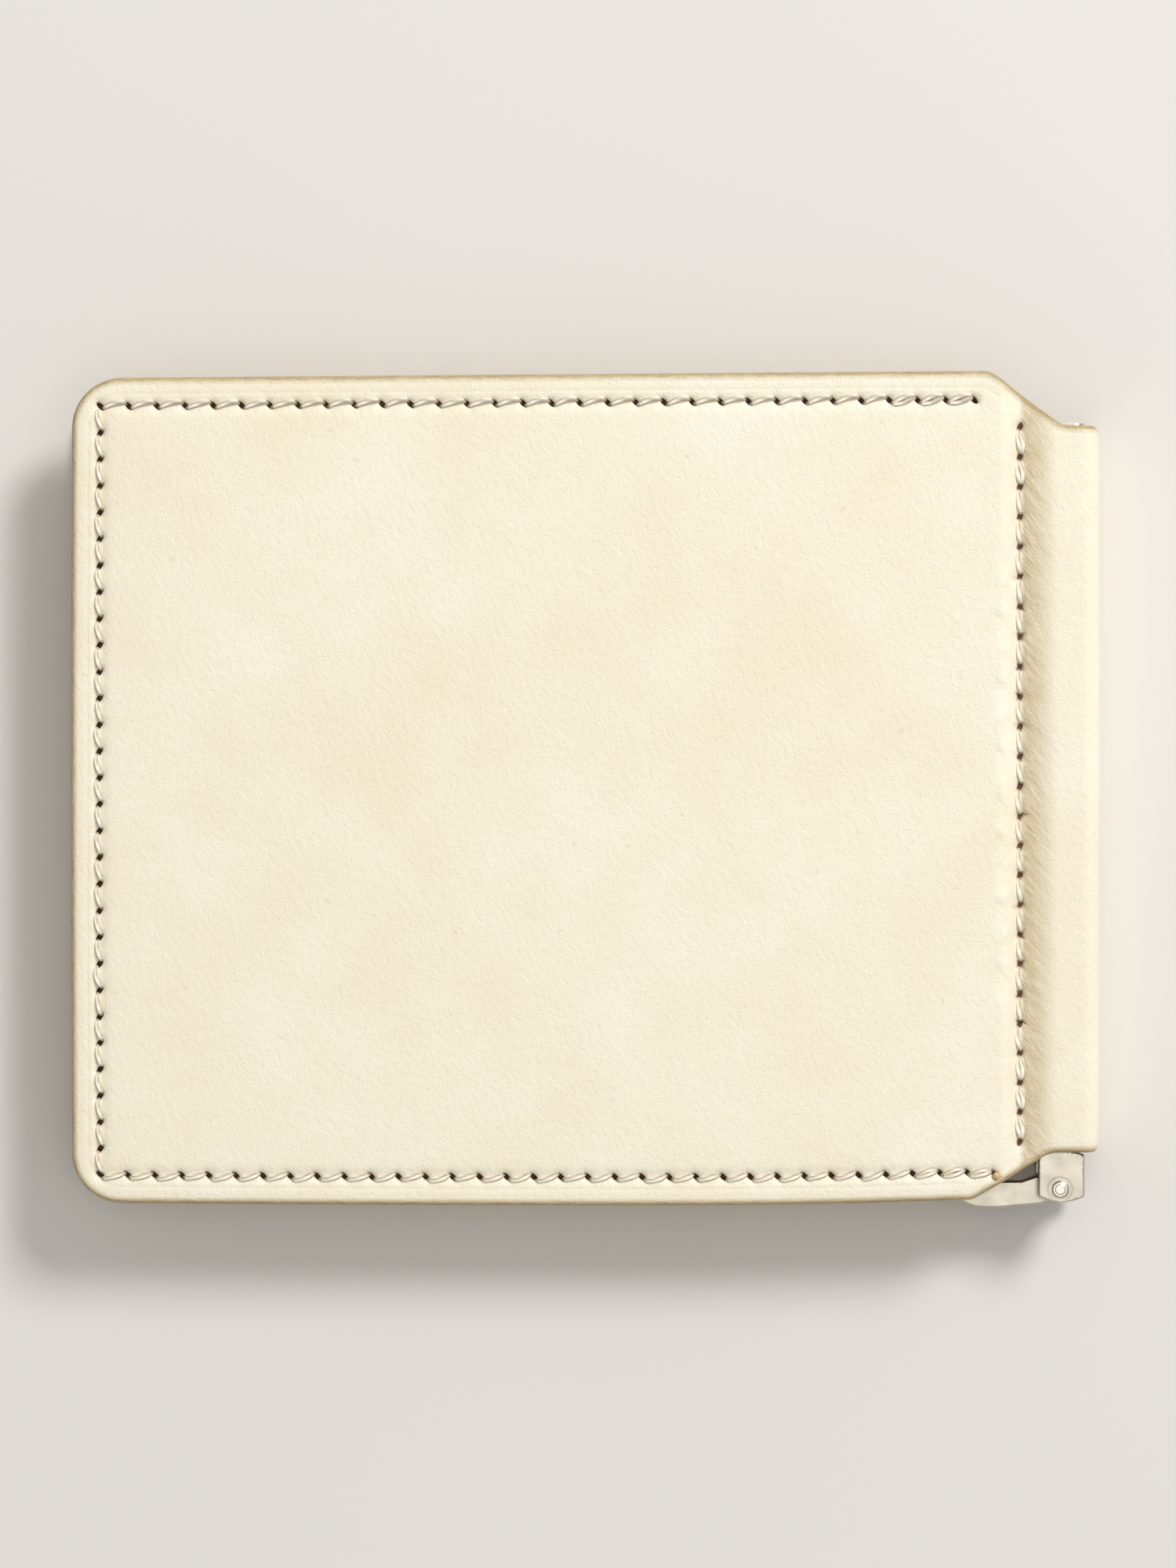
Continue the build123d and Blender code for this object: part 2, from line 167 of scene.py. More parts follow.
def depth_inside(points: Array, outline: Array, normals: Array) -> Array:
    """How far points lie inside an outline, measured to its nearest point, and negative outside.

    Args:
        points: The points to measure.
        outline: The outline's points.
        normals: The outline's outward normals.

    Returns:
        One distance per point.
    """
    depth = np.empty(len(points))
    for start in range(0, len(points), 4000):
        some = points[start:start + 4000]
        gap = some[:, None, :] - outline[None, :, :]
        distance = np.linalg.norm(gap, axis=2)
        nearest = distance.argmin(1)
        row = np.arange(len(some))
        side = (gap[row, nearest] * normals[nearest]).sum(1)
        depth[start:start + 4000] = np.where(side > 0, -distance[row, nearest], distance[row, nearest])
    return depth


def grid(x: tuple[float, float], y: tuple[float, float], step: tuple[float, float]) -> Array:
    """Points of a regular grid that fills a rectangle.

    Args:
        x: The rectangle's lowest and highest x.
        y: Its lowest and highest y.
        step: The longest step allowed along x and along y.

    Returns:
        One row of x and y per point.
    """
    columns = np.linspace(*x, max(2, math.ceil((x[1] - x[0]) / step[0]) + 1))
    rows = np.linspace(*y, max(2, math.ceil((y[1] - y[0]) / step[1]) + 1))
    return np.stack(np.meshgrid(columns, rows), -1).reshape(-1, 2)


# ---------------------------------------------------------------- surfaces and meshes


@dataclass
class Surface:
    """Points in the working frame, faces that index them, and named values of each point.

    Attributes:
        points: One row of x, y and z per point, in millimetres.
        faces: Arrays of faces, each with one number of corners.
        values: One number or one vector per point, by name.
    """

    points: Array
    faces: list[Array]
    values: dict[str, Array] = field(default_factory=dict)

    def flipped(self) -> Surface:
        """The same surface with its faces turned over."""
        return Surface(self.points, [face[:, ::-1] for face in self.faces], self.values)


def joined(surfaces: list[Surface]) -> Surface:
    """Several surfaces as one.

    Args:
        surfaces: The surfaces, which carry the same named values.

    Returns:
        The one surface.
    """
    offsets = np.cumsum([0] + [len(surface.points) for surface in surfaces])
    faces = [face + offset for surface, offset in zip(surfaces, offsets) for face in surface.faces]
    values = {name: np.concatenate([s.values[name] for s in surfaces]) for name in surfaces[0].values}
    return Surface(np.concatenate([s.points for s in surfaces]), faces, values)


def quads(rows: int, columns: int, around: bool = True) -> Array:
    """Faces of a grid of points stored row by row, closed in the direction of its columns.

    Args:
        rows: Number of rows.
        columns: Number of points in a row.
        around: Whether each row closes on itself.

    Returns:
        The corner indexes, four to a face.
    """
    row = np.arange(rows - 1)[:, None] * columns
    column = np.arange(columns if around else columns - 1)[None, :]
    after = (column + 1) % columns
    corners = [row + column, row + after, row + columns + after, row + columns + column]
    return np.stack(corners, -1).reshape(-1, 4)


def triangulate(outline: Array, inner: Array) -> Array:
    """Triangles of the points inside an outline, by a Delaunay triangulation that keeps the outline.

    Args:
        outline: The outline's points, in order.
        inner: The points inside it.

    Returns:
        The corner indexes, three to a face, with the outline's points counted first.
    """
    points = np.concatenate([outline, inner])
    ring = np.arange(len(outline))
    edges = np.stack([ring, np.roll(ring, -1)], 1).tolist()
    _, _, faces, origins, _, _ = delaunay_2d_cdt(points.tolist(), edges, [], 1, 1e-9)
    first = np.array([origin[0] for origin in origins])
    found = first[np.array(faces)]
    one, two, three = (points[found[:, corner]] for corner in range(3))
    area = (
        (two[:, 0] - one[:, 0]) * (three[:, 1] - one[:, 1])
        - (two[:, 1] - one[:, 1]) * (three[:, 0] - one[:, 0])
    )
    return np.where(area[:, None] < 0, found[:, ::-1], found)


def revolved(profile: Array, centre: Array, count: int = 48) -> Surface:
    """A profile of (radius, z) turned about an upright axis, closed by a point at each end.

    Args:
        profile: The profile, from its first end on the axis to its last, top first.
        centre: The axis's x and y.
        count: Points around.

    Returns:
        The closed surface.
    """
    angle = np.linspace(0, 2 * np.pi, count, endpoint=False)
    body = profile[1:-1]
    x = centre[0] + body[:, :1] * np.cos(angle)
    y = centre[1] + body[:, :1] * np.sin(angle)
    z = np.broadcast_to(body[:, 1:], x.shape)
    rings = np.stack([x, y, z], -1).reshape(-1, 3)
    poles = np.array([[*centre, profile[0, 1]], [*centre, profile[-1, 1]]])
    ring = np.arange(count)
    after = np.roll(ring, -1)
    last = (len(body) - 1) * count
    top = np.stack([ring, after, np.full(count, len(rings))], 1)
    base = np.stack([after + last, ring + last, np.full(count, len(rings) + 1)], 1)
    sides = quads(len(body), count)[:, ::-1]
    return Surface(np.concatenate([rings, poles]), [sides, top, base])


def swept(path: Array, section: Array) -> Surface:
    """A closed section carried along a flat path, with its ends closed.

    A point is the path's point, plus the section's first number along the path's right-hand
    normal, plus its second number along z.

    Args:
        path: Points of x and y.
        section: The section's points, anticlockwise, or one such section for each point of the path.

    Returns:
        The closed surface.
    """
    sections = np.broadcast_to(section, (len(path), *section.shape[-2:]))
    along = np.gradient(path, axis=0)
    along /= np.linalg.norm(along, axis=1, keepdims=True)
    normal = np.stack([along[:, 1], -along[:, 0]], 1)
    flat = path[:, None, :] + sections[..., :1] * normal[:, None, :]
    points = np.concatenate([flat, sections[..., 1:]], -1).reshape(-1, 3)
    count = sections.shape[1]
    ring = np.arange(count)
    ends = [ring[None, :], ring[None, ::-1] + (len(path) - 1) * count]
    return Surface(points, [quads(len(path), count)[:, ::-1], *ends])


# ---------------------------------------------------------------- the wallet's layout


@dataclass(frozen=True)
class Layout:
    """Places in the working frame, in millimetres, as the CAD frame gives them."""

    seam: float
    middle: float
    left: float
    bottom: float
    top: float
    panel_face: float
    tunnel_face: float
    spine: float
    mouth: float
    tunnel_end: float
    pivot: tuple[float, float]

    @classmethod
    def from_frame(cls) -> Layout:
        """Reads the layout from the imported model's boxes and joints.

        Returns:
            The layout.
        """
        low, high = (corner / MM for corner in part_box("front_cover"))
        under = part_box("back_cover")[0] / MM
        thread = [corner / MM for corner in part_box("front_spine_thread")]
        cover = [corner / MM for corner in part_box("spine_cover")]
        liner = [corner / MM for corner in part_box("spine_liner")]
        joints = {joint["name"]: joint for joint in frame["record"]["behaviour"]["joints"]}
        pivot = joints["arm_pivot"]["pos_m"]
        seam = (thread[0].x + thread[1].x) / 2
        middle = (under.z + high.z) / 2
        return cls(
            seam=seam,
            middle=middle,
            left=low.x - seam,
            bottom=low.y,
            top=high.y,
            panel_face=high.z - middle,
            tunnel_face=cover[1].z - middle,
            spine=cover[1].x - seam,
            mouth=liner[1].y,
            tunnel_end=liner[0].y,
            pivot=(pivot[0] / MM - seam, pivot[1] / MM),
        )

    def level(self, node: str) -> tuple[float, float]:
        """The lowest and highest z of a front node."""
        low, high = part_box(node)
        return low.z / MM - self.middle, high.z / MM - self.middle

    def bowed(self, points: Array) -> Array:
        """Hand-cut edges are not quite straight.

        The free edge's ends lie a sixth of a millimetre in, with the square of the share up or down.
        The top edge stands 0.65 mm proud beside the spine and slopes down evenly to the free edge.
        The bottom edge is lowest at the spine's third and rises with the square of the distance from
        there, steeply towards the spine. Both moves fade out before the tunnel.

        Args:
            points: Points in the working frame.

        Returns:
            The moved points.
        """
        share = points[:, 0] / self.left
        middle = (self.top + self.bottom) / 2
        up = (points[:, 1] - middle) / (self.top - middle)
        past = share - 0.37
        rise = np.where(past < 0, 6.4, 0.8) * past ** 2 * smooth(share, -0.02, 0.07)
        slope = (0.65 - 0.8 * share) * smooth(share, -0.04, 0.03)
        moved = points.copy()
        moved[:, 1] += rise * np.clip(-up, 0, 1) ** 2 + slope * np.clip(up, 0, 1)
        moved[:, 0] += 0.15 * up ** 2 * np.clip(share, 0, 1)
        return moved

    def to_row(self, points: Array, side: Side = Side.FRONT) -> Array:
        """Moves points from the working frame to the row frame.

        Args:
            points: Points in the working frame, in millimetres.
            side: The half. The back half is the mirror image of the front in z.

        Returns:
            The points in metres.
        """
        row = points.copy()
        row[:, 0] += self.seam
        row[:, 2] = self.middle + side.value * row[:, 2]
        return row * MM


LAYOUT = Layout.from_frame()


def add_piece(name: str, surface: Surface, finish: Finish, side: Side = Side.FRONT,
              sharp: float = 42.0) -> bpy.types.Object:
    """Makes a mesh object of a surface, smooth but for its sharp edges.

    Args:
        name: The piece's name.
        surface: Its surface in the working frame, drawn for the front half.
        finish: Its material.
        side: The half that it belongs to. A back piece is mirrored.
        sharp: Edges that turn by more than this many degrees are sharp.

    Returns:
        The new object, at the origin of the row frame.
    """
    shown = surface if side is Side.FRONT else surface.flipped()
    mesh = bpy.data.meshes.new(name)
    sizes = np.concatenate([np.full(len(face), face.shape[1]) for face in shown.faces])
    loops = np.concatenate([face.ravel() for face in shown.faces]).astype(np.int32)
    mesh.vertices.add(len(shown.points))
    mesh.vertices.foreach_set("co", LAYOUT.to_row(shown.points, side).ravel())
    mesh.loops.add(len(loops))
    mesh.loops.foreach_set("vertex_index", loops)
    mesh.polygons.add(len(sizes))
    mesh.polygons.foreach_set("loop_start", np.concatenate([[0], np.cumsum(sizes)[:-1]]).astype(np.int32))
    mesh.update(calc_edges=True)
    mesh.validate()
    for label, value in shown.values.items():
        kind, key = ("FLOAT", "value") if value.ndim == 1 else ("FLOAT_VECTOR", "vector")
        mesh.attributes.new(label, kind, "POINT").data.foreach_set(key, value.astype(np.float32).ravel())
    mesh.shade_smooth()
    mesh.set_sharp_from_angle(angle=math.radians(sharp))
    mesh.materials.append(finish.material())
    piece = bpy.data.objects.new(name, mesh)
    bpy.context.scene.collection.objects.link(piece)
    LOG.info("%s: %d points, %d faces", name, len(mesh.vertices), len(mesh.polygons))
    return piece


# ---------------------------------------------------------------- finishes

ATTRIBUTE, COORDINATES = "ShaderNodeAttribute", "ShaderNodeTexCoord"
NOISE, VORONOI, MAPPING = "ShaderNodeTexNoise", "ShaderNodeTexVoronoi", "ShaderNodeMapping"
MIX, RANGE, MATH, BUMP = "ShaderNodeMix", "ShaderNodeMapRange", "ShaderNodeMath", "ShaderNodeBump"
SPLIT, PRINCIPLED, OUTPUT = "ShaderNodeSeparateXYZ", "ShaderNodeBsdfPrincipled", "ShaderNodeOutputMaterial"
Colour = tuple[float, float, float, float]


def linear(code: str) -> Colour:
    """Turns an sRGB hex colour to linear light.

    Args:
        code: Six hex digits.

    Returns:
        Red, green, blue and an alpha of 1.
    """
    shares = [int(code[start:start + 2], 16) / 255 for start in (0, 2, 4)]
    light = [share / 12.92 if share <= 0.04045 else ((share + 0.055) / 1.055) ** 2.4 for share in shares]
    return (light[0], light[1], light[2], 1.0)


def add_node(tree: bpy.types.NodeTree, kind: str, inputs: dict[str | int, Any],
             output: str | int = 0, **settings: Any) -> Any:
    """Adds a node with its settings, its values and the links into it.

    Args:
        tree: The material's node tree.
        kind: The node's type.
        inputs: By the input's name or number, an output to link or a value to set.
        output: The output to give back, by its name or number.
        **settings: The node's own properties.

    Returns:
        That output of the new node, or None for a node that has none.
    """
    node = tree.nodes.new(kind)
    for key, value in settings.items():
        setattr(node, key, value)
    for key, value in inputs.items():
        if isinstance(value, bpy.types.NodeSocket):
            tree.links.new(value, node.inputs[key])
        else:
            node.inputs[key].default_value = value
    return node.outputs[output] if node.outputs else None


@dataclass(frozen=True)
class Finish:
    """A material, made once and shared by its pieces."""

    name: str

    def material(self) -> bpy.types.Material:
        """Makes the finish's material, or finds it when it has been made.

        Returns:
            The Blender material.
        """
        found = bpy.data.materials.get(self.name)
        if found is not None:
            return found
        made = bpy.data.materials.new(self.name)
        made.use_nodes = True
        made.node_tree.nodes.clear()
        shader = add_node(made.node_tree, PRINCIPLED, self.inputs(made.node_tree))
        add_node(made.node_tree, OUTPUT, {"Surface": shader})
        return made

    def inputs(self, tree: bpy.types.NodeTree) -> dict[str, Any]:
        """The shader's values, and the outputs of the nodes that feed it."""
        raise NotImplementedError


@dataclass(frozen=True)
class VegTanLeather(Finish):
    """Natural vegetable-tanned cowhide, glazed and waxed, with burnished rims and awl slits.

    It gives a warm cream field, barely mottled, with a soft wide shine, a fine pebble of pores, a
    few flecks, and a tan rim where the fibres show. The grain is read in the sheet's own flat
    millimetres, so it follows the leather round the spine and through a fold.
    """

    pale: str = "F4EDDC"
    warm: str = "EEE4CA"
    rim: str = "CDB88C"
    deep_rim: str = "8A7148"
    # Painted shade inside the awl slits.
    slit: str = "5A2E17"
    # Colour of the painted shade on the fold between the spine seam and the tunnel.
    fold_wrinkles_and_shade: str = "C9B48A"
    roughness: float = 0.5
    mottle_mm: float = 9.0
    cloud_mm: float = 28.0
    grain_mm: float = 0.6
    pore_mm: float = 0.34
    fleck_mm: float = 1.5
    wrinkle_mm: float = 0.75
    fibre_mm: float = 0.5
    bump_mm: float = 0.1

    def inputs(self, tree: bpy.types.NodeTree) -> dict[str, Any]:
        """Mottled cream grain, tan fibrous rims, painted shade in the slits and a wrinkled fold with painted
        shade.

        Args:
            tree: The material's node tree.

        Returns:
            The shader's inputs.
        """
        add = partial(add_node, tree)
        flat = add(ATTRIBUTE, {}, "Vector", attribute_name="flat")
        rim, slit, fold_wrinkles_and_shade = (
            add(ATTRIBUTE, {}, "Fac", attribute_name=name) for name in ("rim", "slit", "fold_wrinkles_and_shade")
        )
        # Clouds of a slightly warmer cream, as the hide took the dressing unevenly.
        mottle = add(NOISE, {"Vector": flat, "Scale": 1 / self.mottle_mm, "Detail": 5.0, "Roughness": 0.6})
        cloud = add(NOISE, {"Vector": flat, "Scale": 1 / self.cloud_mm, "Detail": 2.0})
        tone = add(MATH, {0: mottle, 1: cloud}, operation="ADD")
        tone = add(RANGE, {"Value": tone, "From Min": 0.75, "From Max": 1.28})
        colour = add(MIX, {0: tone, 6: linear(self.pale), 7: linear(self.warm)}, 2, data_type="RGBA")
        # Fine grain and pores.
        drawn = add(MAPPING, {
            "Vector": flat, "Rotation": (0, 0, math.radians(18)), "Scale": (1, 1.7, 1),
        }, vector_type="TEXTURE")
        grain = add(NOISE, {"Vector": drawn, "Scale": 1 / self.grain_mm, "Detail": 4.0, "Roughness": 0.6})
        fine = add(RANGE, {"Value": grain, "From Min": 0.4, "From Max": 0.78, "To Max": 0.5})
        colour = add(MIX, {0: fine, 6: colour, 7: linear(self.warm)}, 2, data_type="RGBA")
        pores = add(VORONOI, {"Vector": flat, "Scale": 1 / self.pore_mm}, "Distance")
        pit = add(RANGE, {"Value": pores, "From Max": 0.4, "To Max": 0.3})
        # A few tan flecks under a millimetre across.
        fleck = add(NOISE, {"Vector": flat, "Scale": 1 / self.fleck_mm, "Detail": 1.0, "Roughness": 0.4})
        fleck = add(RANGE, {"Value": fleck, "From Min": 0.74, "From Max": 0.8, "To Max": 0.22})
        colour = add(MIX, {0: fleck, 6: colour, 7: linear(self.rim)}, 2, data_type="RGBA")
        # Painted shade on the fold between the seam and the tunnel, darkest along its slanting wrinkles.
        slant = add(MAPPING, {
            "Vector": flat, "Rotation": (0, 0, math.radians(42)), "Scale": (1, 3.5, 1),
        }, vector_type="TEXTURE")
        wrinkle = add(NOISE, {"Vector": slant, "Scale": 1 / self.wrinkle_mm, "Detail": 4.0, "Roughness": 0.6})
        shade = add(RANGE, {"Value": wrinkle, "From Min": 0.3, "From Max": 0.7, "To Min": 0.9, "To Max": 0.4})
        shade = add(MATH, {0: fold_wrinkles_and_shade, 1: shade}, operation="MULTIPLY")
        colour = add(MIX, {0: shade, 6: colour, 7: linear(self.fold_wrinkles_and_shade)}, 2, data_type="RGBA")
        # Rims: layers of fibre laid along the edge, burnished darker here and there.
        layered = add(MAPPING, {"Vector": flat, "Scale": (0.35, 0.35, 4)})
        fibre = add(NOISE, {"Vector": layered, "Scale": 1 / self.fibre_mm, "Detail": 4.0, "Roughness": 0.7})
        burnish = add(RANGE, {"Value": fibre, "From Min": 0.42, "From Max": 0.72, "To Max": 0.75})
        edge = add(MIX, {0: burnish, 6: linear(self.rim), 7: linear(self.deep_rim)}, 2, data_type="RGBA")
        colour = add(MIX, {0: rim, 6: colour, 7: edge}, 2, data_type="RGBA")
        # Painted shade inside each awl slit.
        colour = add(MIX, {0: slit, 6: colour, 7: linear(self.slit)}, 2, data_type="RGBA")
        # Relief: grain and pores everywhere, wrinkles in the fold, fibres on the rim.
        height = add(MATH, {0: grain, 1: 0.8, 2: pit}, operation="MULTIPLY_ADD")
        folds = add(MATH, {0: wrinkle, 1: fold_wrinkles_and_shade}, operation="MULTIPLY")
        height = add(MATH, {0: folds, 1: 2.2, 2: height}, operation="MULTIPLY_ADD")
        fuzz = add(MATH, {0: fibre, 1: rim}, operation="MULTIPLY")
        height = add(MATH, {0: fuzz, 1: 2.0, 2: height}, operation="MULTIPLY_ADD")
        bump = add(BUMP, {"Height": height, "Strength": 1.0, "Distance": self.bump_mm * MM})
        rough = add(RANGE, {
            "Value": mottle, "From Min": 0.3, "From Max": 0.7,
            "To Min": self.roughness + 0.05, "To Max": self.roughness - 0.05,
        })
        return {"Base Color": colour, "Roughness": rough, "Normal": bump, "IOR": 1.48}


@dataclass(frozen=True)
class Suede(Finish):
    """Split suede: a short matted nap that scatters light, with brushed lighter and darker tracks."""

    pale: str = "DFCDA9"
    deep: str = "BFA67C"
    # Painted shade inside the awl slits.
    slit: str = "3B1F14"
    nap_mm: float = 0.24
    track_mm: float = 7.0

    def inputs(self, tree: bpy.types.NodeTree) -> dict[str, Any]:
        """A napped surface with broad brushed tracks.

        Args:
            tree: The material's node tree.

        Returns:
            The shader's inputs.
        """
        add = partial(add_node, tree)
        flat = add(ATTRIBUTE, {}, "Vector", attribute_name="flat")
        slit = add(ATTRIBUTE, {}, "Fac", attribute_name="slit")
        nap = add(NOISE, {"Vector": flat, "Scale": 1 / self.nap_mm, "Detail": 5.0, "Roughness": 0.75})
        track = add(NOISE, {"Vector": flat, "Scale": 1 / self.track_mm, "Detail": 3.0, "Roughness": 0.6})
        tone = add(MATH, {0: nap, 1: track}, operation="ADD")
        tone = add(RANGE, {"Value": tone, "From Min": 0.75, "From Max": 1.3})
        colour = add(MIX, {0: tone, 6: linear(self.pale), 7: linear(self.deep)}, 2, data_type="RGBA")
        # Painted shade inside each awl slit.
        colour = add(MIX, {0: slit, 6: colour, 7: linear(self.slit)}, 2, data_type="RGBA")
        bump = add(BUMP, {"Height": nap, "Strength": 0.9, "Distance": 0.06 * MM})
        return {
            "Base Color": colour, "Normal": bump, "Roughness": 0.95,
            "Sheen Weight": 0.35, "Sheen Roughness": 0.5,
        }


@dataclass(frozen=True)
class WaxedLinen(Finish):
    """Two-ply linen thread, waxed: two long plies with painted shade in the groove between them, and a soft
    shine.
    """

    pale: str = "F7F0E0"
    deep: str = "B79F72"
    scorch: str = "D3B078"
    lay_mm: float = 3.4

    def inputs(self, tree: bpy.types.NodeTree) -> dict[str, Any]:
        """The twist: the cosine of twice the turn round the thread less the turns made along it.

        Args:
            tree: The material's node tree.

        Returns:
            The shader's inputs.
        """
        add = partial(add_node, tree)
        twist = add(ATTRIBUTE, {}, "Vector", attribute_name="twist")
        scorch = add(ATTRIBUTE, {}, "Fac", attribute_name="scorch")
        round_cosine, round_sine, along = add(SPLIT, {0: twist}).node.outputs
        turn = add(MATH, {0: along, 1: 2 * math.pi / self.lay_mm}, operation="MULTIPLY")
        sine = add(MATH, {0: turn}, operation="SINE")
        cosine = add(MATH, {0: turn}, operation="COSINE")
        ridge = add(MATH, {0: sine, 1: round_sine}, operation="MULTIPLY")
        ridge = add(MATH, {0: cosine, 1: round_cosine, 2: ridge}, operation="MULTIPLY_ADD")
        # Painted shade in the groove between the plies, where the ridge is low.
        ply_groove_shade = add(RANGE, {"Value": ridge, "From Min": -1.0, "From Max": 0.3, "To Min": 0.9, "To Max": 0.0})
        colour = add(MIX, {0: ply_groove_shade, 6: linear(self.pale), 7: linear(self.deep)}, 2, data_type="RGBA")
        colour = add(MIX, {0: scorch, 6: colour, 7: linear(self.scorch)}, 2, data_type="RGBA")
        bump = add(BUMP, {"Height": ridge, "Strength": 1.0, "Distance": 0.12 * MM})
        return {"Base Color": colour, "Normal": bump, "Roughness": 0.42}


@dataclass(frozen=True)
class PlatedSteel(Finish):
    """Plated and tumbled steel: a metal with a soft, faintly cloudy reflection and a fine tooth."""

    # A warm grey: partly the plate's own tint, partly a painted reflection of warm surroundings.
    pale: str = "CFC8B8"
    deep: str = "C1BAAA"
    roughness: float = 0.3
    cloud_mm: float = 2.4
    grit_mm: float = 0.09

    def inputs(self, tree: bpy.types.NodeTree) -> dict[str, Any]:
        """Cloudy plate with the fine tooth that tumbling leaves.

        Args:
            tree: The material's node tree.

        Returns:
            The shader's inputs.
        """
        add = partial(add_node, tree)
        place = add(COORDINATES, {}, "Object")
        cloud = add(NOISE, {"Vector": place, "Scale": 1 / (self.cloud_mm * MM), "Detail": 4.0})
        grit = add(NOISE, {"Vector": place, "Scale": 1 / (self.grit_mm * MM), "Detail": 3.0})
        tone = add(RANGE, {"Value": cloud, "From Min": 0.3, "From Max": 0.7})
        colour = add(MIX, {0: tone, 6: linear(self.pale), 7: linear(self.deep)}, 2, data_type="RGBA")
        rough = add(RANGE, {
            "Value": cloud, "From Min": 0.3, "From Max": 0.7,
            "To Min": self.roughness - 0.05, "To Max": self.roughness + 0.08,
        })
        bump = add(BUMP, {"Height": grit, "Strength": 0.35, "Distance": 0.01 * MM})
        return {"Base Color": colour, "Roughness": rough, "Normal": bump, "Metallic": 1.0}


@dataclass(frozen=True)
class PaleCard(Finish):
    """Matt pale card, the plain ground that the wallet lies on."""

    colour: str = "E4E1DC"
    shade: str = "DEDBD5"
    cloud_mm: float = 120.0

    def inputs(self, tree: bpy.types.NodeTree) -> dict[str, Any]:
        """Plain card with a barely visible unevenness.

        Args:
            tree: The material's node tree.

        Returns:
            The shader's inputs.
        """
        add = partial(add_node, tree)
        place = add(COORDINATES, {}, "Object")
        tone = add(NOISE, {"Vector": place, "Scale": 1 / (self.cloud_mm * MM), "Detail": 2.0})
        colour = add(MIX, {0: tone, 6: linear(self.colour), 7: linear(self.shade)}, 2, data_type="RGBA")
        return {"Base Color": colour, "Roughness": 0.9}


OUTER_LEATHER = VegTanLeather("veg_tan_glazed")
POCKET_LEATHER = VegTanLeather("veg_tan_thin", pale="F1E9D5", warm="E9DDC2", roughness=0.56, mottle_mm=8.0)
LINING_SUEDE = Suede("split_suede")
THREAD = WaxedLinen("waxed_linen")
# The nickel greys are warmed partly by a painted reflection of warm surroundings.
SATIN_NICKEL = PlatedSteel("nickel_plate_satin")
BRIGHT_NICKEL = PlatedSteel("nickel_plate_bright", pale="E2DCCF", deep="D6D0C4", roughness=0.22)
SPRING_STEEL = PlatedSteel("spring_steel_blued", pale="7E8288", deep="5E636B", roughness=0.34)
CARD = PaleCard("matt_card")


# ---------------------------------------------------------------- seams


@dataclass(frozen=True)
class Run:
    """One straight run of saddle stitches, in the working frame.

    Attributes:
        holes: The awl slits' centres in the order of sewing.
        slant: Degrees between the seam and its slits.
        doubled: Stitches sewn twice at the start and at the end.
    """

    holes: Array
    slant: float
    doubled: tuple[int, int] = (0, 0)

    @property
    def along(self) -> Array:
        """Unit vector from the first hole to the last."""
        way = self.holes[-1] - self.holes[0]
        return way / np.linalg.norm(way)

    @property
    def edgeward(self) -> Array:
        """Unit vector square to the seam, on its right: towards the panel's edge."""
        along = self.along
        return np.array([along[1], -along[0]])

    @property
    def slit(self) -> Array:
        """Unit vector of the slits: turned from the seam towards the edge by the slant."""
        angle = math.radians(self.slant)
        return self.along * math.cos(angle) + self.edgeward * math.sin(angle)


@dataclass(frozen=True)
class Seams:
    """The four runs of one half: along the top, down the free edge, along the bottom, and the spine."""

    inset: float = 3.0
    top_end: float = -4.9
    bottom_end: float = -2.8
    spine_top: float = 5.6
    spine_bottom: float = 6.6
    counts: tuple[int, int, int, int] = (32, 30, 34, 25)

    def runs(self) -> list[Run]:
        """The runs, each sewn so that the panel's edge is on its right.

        Returns:
            The top, side, bottom and spine runs.
        """
        left = LAYOUT.left + self.inset
        top = LAYOUT.top - self.inset
        bottom = LAYOUT.bottom + self.inset
        spine = (LAYOUT.top - self.spine_top, LAYOUT.bottom + self.spine_bottom)
        ends = [
            ((self.top_end, top), (left, top), 45.0, (3, 0)),
            ((left, top), (left, bottom), 35.0, (0, 0)),
            ((left, bottom), (self.bottom_end, bottom), 45.0, (0, 3)),
            ((0.0, spine[0]), (0.0, spine[1]), 22.0, (2, 3)),
        ]
        return [
            Run(np.linspace(start, stop, count), slant, doubled)
            for (start, stop, slant, doubled), count in zip(ends, self.counts)
        ]

    def slits(self) -> tuple[Array, Array]:
        """Every slit's centre and direction, with the corner slits counted once.

        Returns:
            The centres, and one unit vector along each slit.
        """
        runs = self.runs()
        kept = [runs[0].holes, runs[1].holes[1:-1], runs[2].holes, runs[3].holes]
        turns = [np.broadcast_to(run.slit, holes.shape) for run, holes in zip(runs, kept)]
        return np.concatenate(kept), np.concatenate(turns)


SEAMS = Seams()


def distance_to_runs(points: Array, runs: list[Run]) -> Array:
    """The distance from each point to the nearest of several straight seams.

    Args:
        points: The points to measure.
        runs: The seams.

    Returns:
        One distance per point.
    """
    best = np.full(len(points), np.inf)
    for run in runs:
        start, stop = run.holes[0], run.holes[-1]
        share = np.clip(((points - start) @ (stop - start)) / ((stop - start) ** 2).sum(), 0, 1)
        best = np.minimum(best, np.linalg.norm(points - start - share[:, None] * (stop - start), axis=1))
    return best


